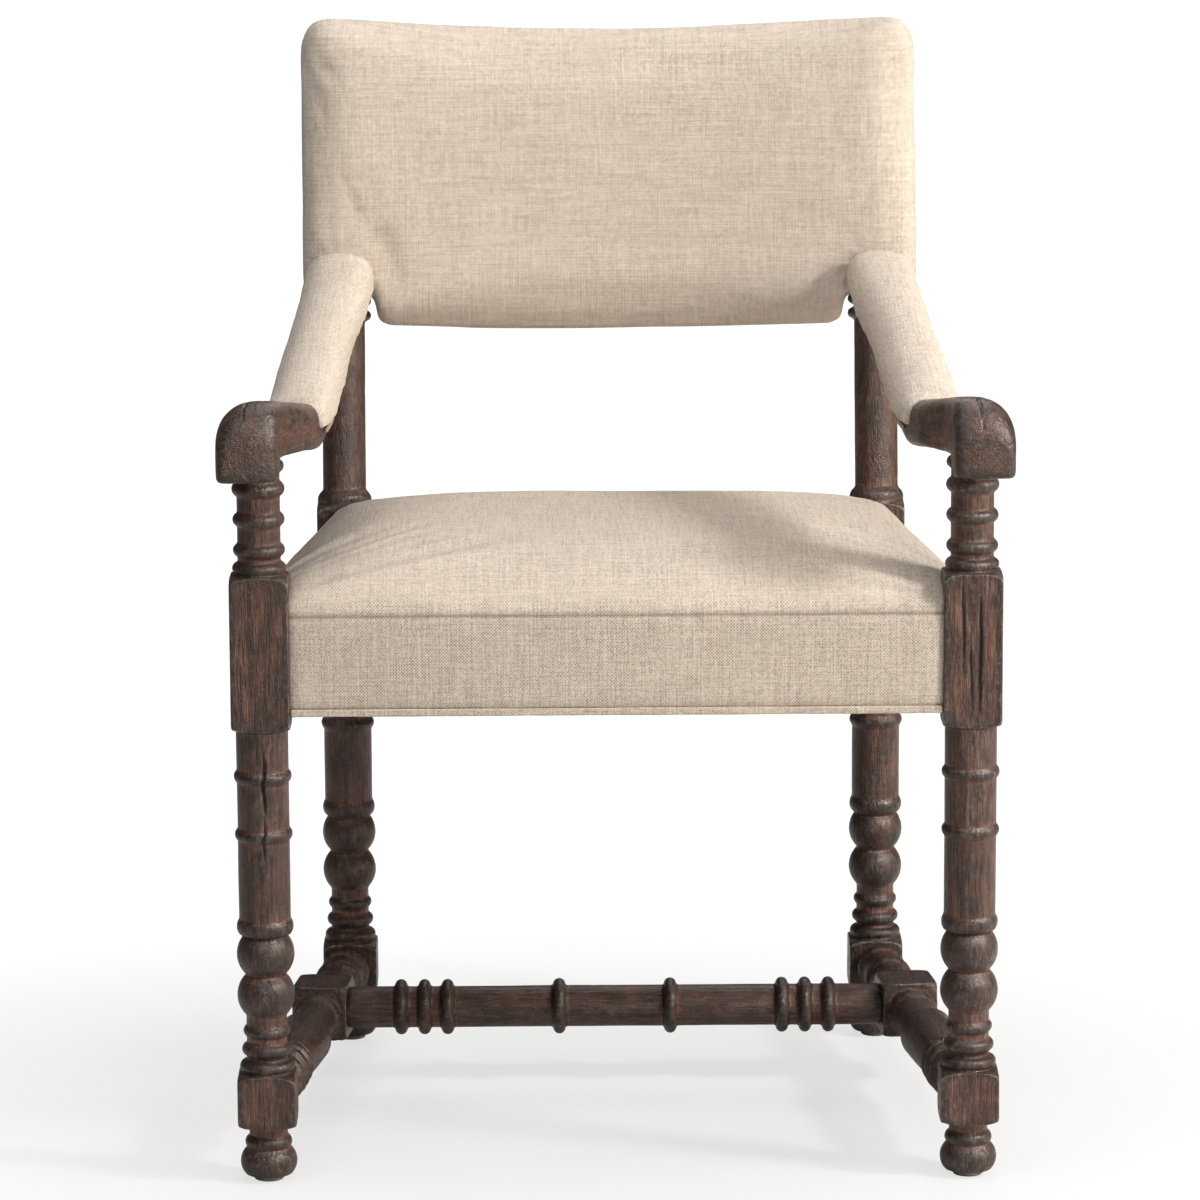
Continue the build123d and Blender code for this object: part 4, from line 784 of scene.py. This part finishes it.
# Back: u runs across, v to the rear and w up the rake, from the foot of the rake on the rear posts
LEAN = math.radians(9)
RAKE_FOOT = 0.52459
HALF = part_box("back_cover")[1][0]
BACK_LOW, BACK_HIGH = 0.170, 0.460
BACK_SAG, BACK_DIP, DIP_REACH = 0.005, 0.0087, 0.88
RING_RADIUS, TONGUE_GAP = 0.0265, 0.0045
TONGUE = REAR_X - RING_RADIUS - TONGUE_GAP
TONGUE_ROUND, END_ROUND, ROLL_WIDTH = 0.012, 0.022, 0.050
NOTCH = 0.1975
BACK_FRONT, BACK_REAR = -0.040, 0.022
FRONT_HOLLOW, REAR_HOLLOW = 0.029, 0.018
ARM_JOINT = 0.745


def hollow(u, depth=REAR_HOLLOW):
    return depth * (1 - (u / HALF) ** 2)


def dip(u):
    """How far the back's top edge dips at u."""
    return BACK_DIP * max(0, 1 - (abs(u) / HALF / DIP_REACH) ** 2)


def quarter(t):
    """A quarter circle's rise, from 0 to 1."""
    return 1 - math.sqrt(max(0.0, 1 - t * t))


def on_rake(u, v, w):
    y = REAR_Y + v * math.cos(LEAN) + w * math.sin(LEAN)
    z = RAKE_FOOT - v * math.sin(LEAN) + w * math.cos(LEAN)
    return u, y, z


def back_ring(u, low, top, front, rear, edge, under):
    """The back's outline at u: flat front and rear, a rolled top and a softer bottom."""
    mid, half = (front + rear) / 2, (rear - front) / 2
    face = [low + under + (top - edge - low - under) * k / 8 for k in range(9)]
    points = [(mid - half, w) for w in face]
    for k in range(1, 12):
        a = math.pi * k / 12
        points.append((mid - half * math.cos(a), top - edge + edge * math.sin(a)))
    points += [(mid + half, w) for w in reversed(face)]
    for k in range(1, 10):
        a = math.pi * k / 10
        points.append((mid + half * math.cos(a), low + under - under * math.sin(a)))
    return [on_rake(u, v, w) for v, w in points]


def back_places():
    """Places across the back, closer together where it turns."""
    tongue_turn = np.sin(np.linspace(0.2, 1, 6) * math.pi / 2)
    end_turn = np.sin(np.linspace(0.12, 1, 9) * math.pi / 2)
    parts = (
        np.linspace(0, TONGUE - TONGUE_ROUND, 14),
        TONGUE - TONGUE_ROUND + TONGUE_ROUND * tongue_turn,
        [TONGUE + 0.0006],
        np.linspace(TONGUE + 0.008, HALF - END_ROUND, 9),
        HALF - END_ROUND + END_ROUND * end_turn,
    )
    half = np.concatenate(parts)
    return np.concatenate([-half[:0:-1], half])


def back_section(u):
    """The back's outline at u, with its tongue between the posts and its rolled ends."""
    a = abs(u)
    turn = quarter(max(0.0, (a - (HALF - END_ROUND)) / END_ROUND))
    roll = quarter(max(0.0, (a - (HALF - ROLL_WIDTH)) / ROLL_WIDTH))
    low = BACK_LOW - BACK_SAG * (1 - (a / HALF) ** 2)
    if a > TONGUE:
        low = NOTCH + 0.008 * turn
    elif a > TONGUE - TONGUE_ROUND:
        low += TONGUE_ROUND * quarter((a - TONGUE + TONGUE_ROUND) / TONGUE_ROUND)
    top = BACK_HIGH - dip(u) - 0.030 * turn
    front = BACK_FRONT + hollow(u, FRONT_HOLLOW) + 0.021 * roll + 0.006 * turn
    rear = BACK_REAR + hollow(u) - 0.012 * turn
    return back_ring(u, low, top, front, rear, 0.024 - 0.008 * turn, 0.024 if a < TONGUE else 0.014)


def held_back(co, edges):
    """The back cover is held at its rear and where the arms meet it."""
    y_face = REAR_Y + (co[:, 2] - RAKE_FOOT) * math.tan(LEAN)
    held = np.where(co[:, 1] - y_face < hollow(co[:, 0]) - 0.012, 0.0, 1.0)
    for x in (-REAR_X, REAR_X):
        reach = np.hypot(co[:, 0] - x, co[:, 2] - ARM_JOINT)
        held = np.maximum(held, np.clip(1 - (reach - 0.03) / 0.03, 0, 1))
    return np.clip(relax(held, edges, 4), 0, 1)


def make_back():
    back = from_rings("back_cushion", [back_section(u) for u in back_places()])
    mesh = soft_voxels(back, 0.005, 3)
    puff(back, held_back(get_co(mesh), get_edges(mesh)), BACK_SWELL)
    mesh = subdivide(back)
    co = get_co(mesh)
    normals = get_normals(mesh)
    depth = 0.0012 * noise(co, (8, 8, 8), 11) + 0.0004 * noise(co, (30, 30, 30), 13)
    rearward = (co[:, 1] - REAR_Y) * math.cos(LEAN) - (co[:, 2] - RAKE_FOOT) * math.sin(LEAN)
    v_back = rearward - hollow(co[:, 0])
    hem = ridge(v_back, 0.0165, 0.0016) * step(np.abs(normals[:, 1]), 0.9, 0.5)
    depth -= 0.0010 * hem
    for x in (-REAR_X, REAR_X):
        dx, dz = co[:, 0] - x, co[:, 2] - ARM_JOINT
        fade = ridge(np.hypot(dx, dz), 0.038, 0.03) * (v_back < -0.02)
        depth += 0.0002 * np.sin(np.arctan2(dz, dx) * 13 + 2 * x) * fade
    push(mesh, depth)
    # the seam attribute carries the painted shade along the back's hem crease
    attribute(mesh, "seam", hem)
    place(back, linen_seam, "linen", "back_cover", "back_foam")


make_back()

# Outer panel: a stretched cloth over the rear, with its edges turned in
PANEL = 0.95 * HALF
PANEL_INSET = 0.011
PANEL_TURN = 0.004
PANEL_SEAT, PANEL_FACE, PANEL_RISE = 0.0205, 0.0222, 0.0016


def panel_section(u):
    low = BACK_LOW - BACK_SAG * (1 - (u / HALF) ** 2) if abs(u) < TONGUE - 0.006 else NOTCH
    low += PANEL_INSET
    top = BACK_HIGH - dip(u) - 0.021
    edge = min(1.0, (PANEL - abs(u)) / PANEL_TURN)
    inner = PANEL_SEAT + hollow(u)
    outer = PANEL_FACE + PANEL_RISE * edge + hollow(u)
    points = [(inner, low), (inner, top)]
    for k in range(41):
        t = 1 - k / 40
        inward = min(1.0, min(t, 1 - t) * (top - low) / PANEL_TURN)
        points.append((inner + (outer - inner) * inward, low + (top - low) * t))
    return [on_rake(u, v, w) for v, w in points]


def make_panel():
    panel = from_rings("back_outside", [panel_section(u) for u in np.linspace(-PANEL, PANEL, 81)])
    push(panel.data, 0.0005 * noise(get_co(panel.data), (14, 14, 14), 71))
    place(panel, linen, "linen", "back_outer_panel")


make_panel()

# Arm pads: stations along the timber, from the hand to the rear, as shares of the sizes below. Each has its
# place, how far it stands outward, its underside and depth, then the pad's width, thickness and lower edge
ARM_SHARES = np.array(
    (
        (0.121, 0.42, -0.064, 0.591, 0.96, 0.22, 3.2),
        (0.221, 0.34, 0.05, 0.50, 1.0, 0.60, 1.9),
        (0.396, 0.28, 0.256, 0.42, 1.0, 1.0, 1.2),
        (0.625, 0.19, 0.54, 0.40, 0.97, 1.0, 1.0),
        (0.833, 0.07, 0.795, 0.40, 1.04, 1.0, 1.0),
        (1.083, 0.0, 1.10, 0.40, 1.08, 1.0, 1.0),
    )
)
ARM_SEAT = 0.64558
ARM_RISE, ARM_DEPTH = 0.078, 0.070
PAD_WIDTH, PAD_THICKNESS, PAD_REVEAL = 0.060, 0.015, 0.006
PAD_FRONT, PAD_REAR = FRONT_Y + 0.058, REAR_Y - 0.004
PAD_ROUND, PAD_SQUARENESS = 0.0235, 2.6
PAD_NOSE, PAD_NOSE_DROP, PAD_SLANT = 0.010, 0.006, 0.013


def arm_at(y):
    """Centre and underside of the timber, its depth, and the pad's width, thickness and lower edge, at y."""
    share = (y - FRONT_Y) / DEPTH
    columns = ARM_SHARES.T
    outward, under, depth, width, thick, reveal = [np.interp(share, columns[0], c) for c in columns[1:]]
    centre = REAR_X + outward * (ARM_CENTRE - REAR_X)
    sizes = (depth * ARM_DEPTH, width * PAD_WIDTH, thick * PAD_THICKNESS, reveal * PAD_REVEAL)
    return centre, ARM_SEAT + under * ARM_RISE, *sizes


def underside(co):
    return np.array([arm_at(y)[1] for y in co[:, 1]])


def pad_ring(sign, y, shrink=0.0):
    centre, under, depth, width, thick, reveal = arm_at(y)
    low, high = under + reveal + 0.0004, under + depth + thick - shrink
    half = width / 2 - shrink
    round_over = min(PAD_ROUND, (high - low) * 0.75)
    shoulder = high - round_over
    points = []
    for k in range(5):
        bulge = 0.0008 * math.sin(math.pi * k / 4)
        points.append((half + bulge, low + (shoulder - low) * k / 4))
    for k in range(1, 14):
        ca, sa = math.cos(math.pi * k / 14), math.sin(math.pi * k / 14)
        x = half * math.copysign(abs(ca) ** (2 / PAD_SQUARENESS), ca)
        points.append((x, shoulder + round_over * sa ** (2 / PAD_SQUARENESS)))
    for k in range(5):
        points.append((-half, shoulder - (shoulder - low) * k / 4))
    return [(sign * centre + x, y, z) for x, z in points]


def pad_body(sign, side):
    """A pad with its nose rounded and its front edge slanted."""
    rings = []
    for k in range(8):
        turn = k / 8 * math.pi / 2
        y = PAD_FRONT + PAD_NOSE * (1 - math.cos(turn))
        rings.append(pad_ring(sign, y, PAD_NOSE_DROP * (1 - math.sin(turn))))
    for y in np.linspace(PAD_FRONT + 0.012, PAD_REAR, 40):
        rings.append(pad_ring(sign, y))
    pad = from_rings("arm_pad_" + side, rings)
    mesh = voxels(pad, 0.004)
    co = get_co(mesh)
    centre = np.array([arm_at(y)[0] for y in co[:, 1]])
    inward = np.clip((centre - sign * co[:, 0]) / 0.028, -1, 1)
    co[:, 1] -= PAD_SLANT * step(inward, -0.6, 0.9) * (1 - step(co[:, 1], PAD_FRONT, PAD_FRONT + 0.07))
    set_co(mesh, relax(co, get_edges(mesh), 2, 0.5))
    return pad


def held_pad(co):
    """The pad's cover is held along its lower edge and at both ends."""
    held = 1 - step(co[:, 2] - underside(co), 0.008, 0.022)
    held = np.maximum(held, step(co[:, 1], REAR_Y - 0.06, REAR_Y - 0.03))
    held = np.maximum(held, 1 - step(co[:, 1], PAD_FRONT, PAD_FRONT + 0.02))
    return np.clip(held, 0, 1)


def make_pad(sign, side):
    pad = pad_body(sign, side)
    puff(pad, held_pad(get_co(pad.data)), PAD_SWELL)
    mesh = subdivide(pad)
    co = get_co(mesh)
    depth = 0.0007 * noise(co, (14, 14, 14), 21) + 0.0003 * noise(co, (45, 45, 45), 23)
    tucks = ridge(co[:, 2] - underside(co), 0.006, 0.010)
    push(mesh, depth + 0.0005 * tucks * noise(co, (10, 150, 10), 25))
    place(pad, linen, "linen", "arm_cover_" + side, "arm_foam_" + side)


for sign, side in SIDES:
    make_pad(sign, side)

# Bands, straps and linings
band = weave_material("band", (0.62, 0.52, 0.385), (0.33, 0.26, 0.18), 0.0012)
webbing = weave_material("webbing", (0.46, 0.34, 0.19), (0.20, 0.14, 0.07), 0.0024)
hessian = weave_material("hessian", (0.50, 0.38, 0.22), (0.20, 0.14, 0.08), 0.0018)
lining = weave_material("lining", (0.035, 0.035, 0.037), (0.008, 0.008, 0.009), 0.0008)


def dressed(name, source, material, slot, voxel, amount, scale, seed):
    """A soft CAD piece remade as an uneven cloth piece."""
    obj = copy_of(name, source)
    mesh = soft_voxels(obj, voxel, 2, 0.4)
    push(mesh, amount * noise(get_co(mesh), (scale,) * 3, seed))
    place(obj, material, slot, source)


def finely_divided(mesh, longest):
    """Triangulate a mesh until few of its edges are longer than a length."""
    bm = bmesh.new()
    bm.from_mesh(mesh)
    bmesh.ops.triangulate(bm, faces=bm.faces)
    for _ in range(6):
        long_edges = [e for e in bm.edges if e.calc_length() > longest]
        if not long_edges:
            break
        bmesh.ops.subdivide_edges(bm, edges=long_edges, cuts=1)
        bmesh.ops.triangulate(bm, faces=bm.faces)
    bm.to_mesh(mesh)
    bm.free()


def sheet(source, material, slot, sag):
    """A stretched sheet under the seat, which sags a little in its middle."""
    obj = copy_of(source + "_cloth", source)
    mesh = obj.data
    finely_divided(mesh, 0.03)
    co = get_co(mesh)
    flat = co.copy()
    flat[:, 2] = 0
    inside_x = np.clip((0.27 - np.abs(co[:, 0])) / 0.1, 0, 1)
    inside_y = np.clip((0.23 - np.abs(co[:, 1] + 0.02)) / 0.1, 0, 1)
    inside = inside_x * inside_y
    co[:, 2] -= sag * inside
    co[:, 2] += 0.0006 * noise(flat, (24, 24, 1), 41) * (inside > 0)
    set_co(mesh, co)
    place(obj, material, slot, source, smooth=False)


dressed("seat_band", "seat_welt", linen, "trim", 0.0014, 0.0002, 60, 31)
for _, side in SIDES:
    dressed("arm_band_" + side, "arm_trim_" + side, band, "trim", 0.0007, 0.0001, 90, 33)
dressed("lengthwise_straps", "seat_webbing_lengthwise", webbing, "webbing", 0.0009, 0.0002, 25, 35)
dressed("crosswise_straps", "seat_webbing_crosswise", webbing, "webbing", 0.0009, 0.0002, 25, 37)
dressed("back_straps", "back_webbing", webbing, "webbing", 0.0009, 0.0002, 25, 39)
sheet("seat_hessian", hessian, "hessian", 0.0)
sheet("dust_cover", lining, "dust_cloth", 0.003)


# Frame inside, fixings and glides: CAD nodes that keep their meshes
def paint(names, material):
    for name in names:
        set_material(nodes[name].data, material)


CORNERS = [end + side for end in ("front_", "rear_") for side in ("left", "right")]
plain_across, plain_lengthwise = plain_timber_material(0), plain_timber_material(1)
paint(["front_seat_rail", "rear_seat_rail", "back_top_rail", "back_bottom_rail"], plain_across)
paint(["corner_block_" + corner for corner in CORNERS], plain_across)
paint(["side_seat_rail_left", "side_seat_rail_right"], plain_lengthwise)
paint(["corner_block_screws", "arm_bolts", "glide_nails"], steel_material())
paint(["glide_" + corner for corner in CORNERS], moulded_material("glide_plastic", (0.30, 0.27, 0.24)))


# Floor: pale all over, and white where it is far from the chair
def make_floor():
    mesh = bpy.data.meshes.new("floor")
    mesh.from_pydata([(-30, -30, 0), (30, -30, 0), (30, 30, 0), (-30, 30, 0)], [], [(0, 1, 2, 3)])
    floor = link("floor", mesh)
    m = Nodes("floor_paint")
    worn = m.noise((5, 5, 5), 5.0, 0.65)
    scratch = m.noise((60, 60, 60), 4.0, 0.7)
    tone = m.ramp(m.sum((worn, 0.7), (scratch, 0.3)), (0.35, (0.79,) * 3), (0.65, (0.84,) * 3))
    m.done(Base_Color=tone, Roughness=0.85, Specular_IOR_Level=0.1)
    reach = m.node("ShaderNodeVectorMath", operation="LENGTH")
    m.put(reach.inputs[0], m.scaled((1.0, 1.35, 1.0), shift=(0.06, 0.02, 0.0)))
    pale = m.range(reach.outputs["Value"], 0.35, 1.15, 0.70, 1.0)
    seen = m.node("ShaderNodeLightPath").outputs["Is Camera Ray"]
    white = m.node("ShaderNodeEmission")
    white.inputs["Color"].default_value = (1, 1, 1, 1)
    m.put(white.inputs["Strength"], m.range(reach.outputs["Value"], 0.45, 1.25, 1.0, 1.08))
    blend = m.node("ShaderNodeMixShader")
    m.put(blend.inputs[0], m.math("MULTIPLY", pale, seen))
    m.put(blend.inputs[1], m.shader.outputs[0])
    m.put(blend.inputs[2], white.outputs[0])
    m.put(m.out.inputs[0], blend.outputs[0])
    mesh.materials.append(m.material)


# World: a faint fill light, which the camera sees as white
def make_world(fill):
    world = bpy.data.worlds.new("studio")
    scene.world = world
    world.use_nodes = True
    tree = world.node_tree
    background = tree.nodes["Background"]
    background.inputs[0].default_value = (1.0, 1.0, 1.0, 1)
    seen = tree.nodes.new("ShaderNodeLightPath")
    sky = tree.nodes.new("ShaderNodeMapRange")
    tree.links.new(seen.outputs["Is Camera Ray"], sky.inputs[0])
    sky.inputs["To Min"].default_value = fill
    sky.inputs["To Max"].default_value = 1.0
    tree.links.new(sky.outputs[0], background.inputs[1])


# Lights: name, azimuth from the front toward the right, elevation, distance, size, power and colour
MIDDLE = Vector((0.0, -0.02, 0.6))
BACK_MIDDLE = Vector((-0.05, 0.2, 0.86))
WHITE = (1, 1, 1)
LIGHTS = (
    ("key", 65.8, 29.7, 3.3, 0.5, 58, (0.93, 0.96, 1.0)),
    ("over", 0, 88, 3.2, 2.5, 49, (1.0, 0.98, 0.95)),
    ("side", 62, 15, 4.0, 2.5, 94, (1.0, 0.90, 0.72)),
    ("rear", 170, 40, 3.6, 2.0, 28, WHITE),
    ("upper_left", -35, 48, 2.5, 1.0, 12, WHITE),
    ("front", 12, 12, 4.5, 1.2, 14, WHITE),
    ("gloss", 44, 30, 3.0, 0.6, 80, (1.0, 0.90, 0.83)),
)


def make_light(name, azimuth, elevation, distance, size, power, color):
    a, e = math.radians(azimuth), math.radians(elevation)
    target = BACK_MIDDLE if name == "upper_left" else MIDDLE
    data = bpy.data.lights.new(name, "AREA")
    data.shape = "DISK"
    data.size = size
    data.energy = power
    data.color = color
    lamp = link(name, data)
    outward = Vector((math.sin(a) * math.cos(e), -math.cos(a) * math.cos(e), math.sin(e)))
    lamp.location = MIDDLE + distance * outward
    lamp.rotation_mode = "QUATERNION"
    lamp.rotation_quaternion = (target - lamp.location).to_track_quat("-Z", "Y")
    lamp.visible_diffuse = name != "gloss"


# Camera: fitted to the photograph, with its focal length in pixels of the 1200 pixel frame
PITCH, YAW, ROLL = math.radians(10.38), math.radians(-0.38), math.radians(-0.30)
CAMERA_X, CAMERA_AHEAD, CAMERA_Z = -0.0446, 4.6384, 1.3664
FRAME_PIXELS, FOCAL_PIXELS, SENSOR = 1200, 5442, 36


def make_camera():
    right = Vector((math.cos(YAW), math.sin(YAW), 0))
    level = Vector((-math.sin(YAW), math.cos(YAW), 0))
    forward = level * math.cos(PITCH) - Vector((0, 0, 1)) * math.sin(PITCH)
    up = level * math.sin(PITCH) + Vector((0, 0, 1)) * math.cos(PITCH)
    camera_right = right * math.cos(ROLL) + up * math.sin(ROLL)
    camera_up = up * math.cos(ROLL) - right * math.sin(ROLL)
    data = bpy.data.cameras.new("camera")
    data.sensor_width = SENSOR
    data.sensor_fit = "HORIZONTAL"
    data.lens = FOCAL_PIXELS / FRAME_PIXELS * SENSOR
    data.clip_start, data.clip_end = 0.1, 100
    camera = link("camera", data)
    basis = Matrix((camera_right, camera_up, -forward)).transposed().to_4x4()
    basis.translation = Vector((CAMERA_X, FRONT_Y - CAMERA_AHEAD, CAMERA_Z))
    camera.matrix_world = basis
    scene.camera = camera


scene.view_settings.view_transform = "Standard"
scene.view_settings.look = "None"
scene.view_settings.gamma = 0.84
make_floor()
make_world(0.10)
for light in LIGHTS:
    make_light(*light)
make_camera()
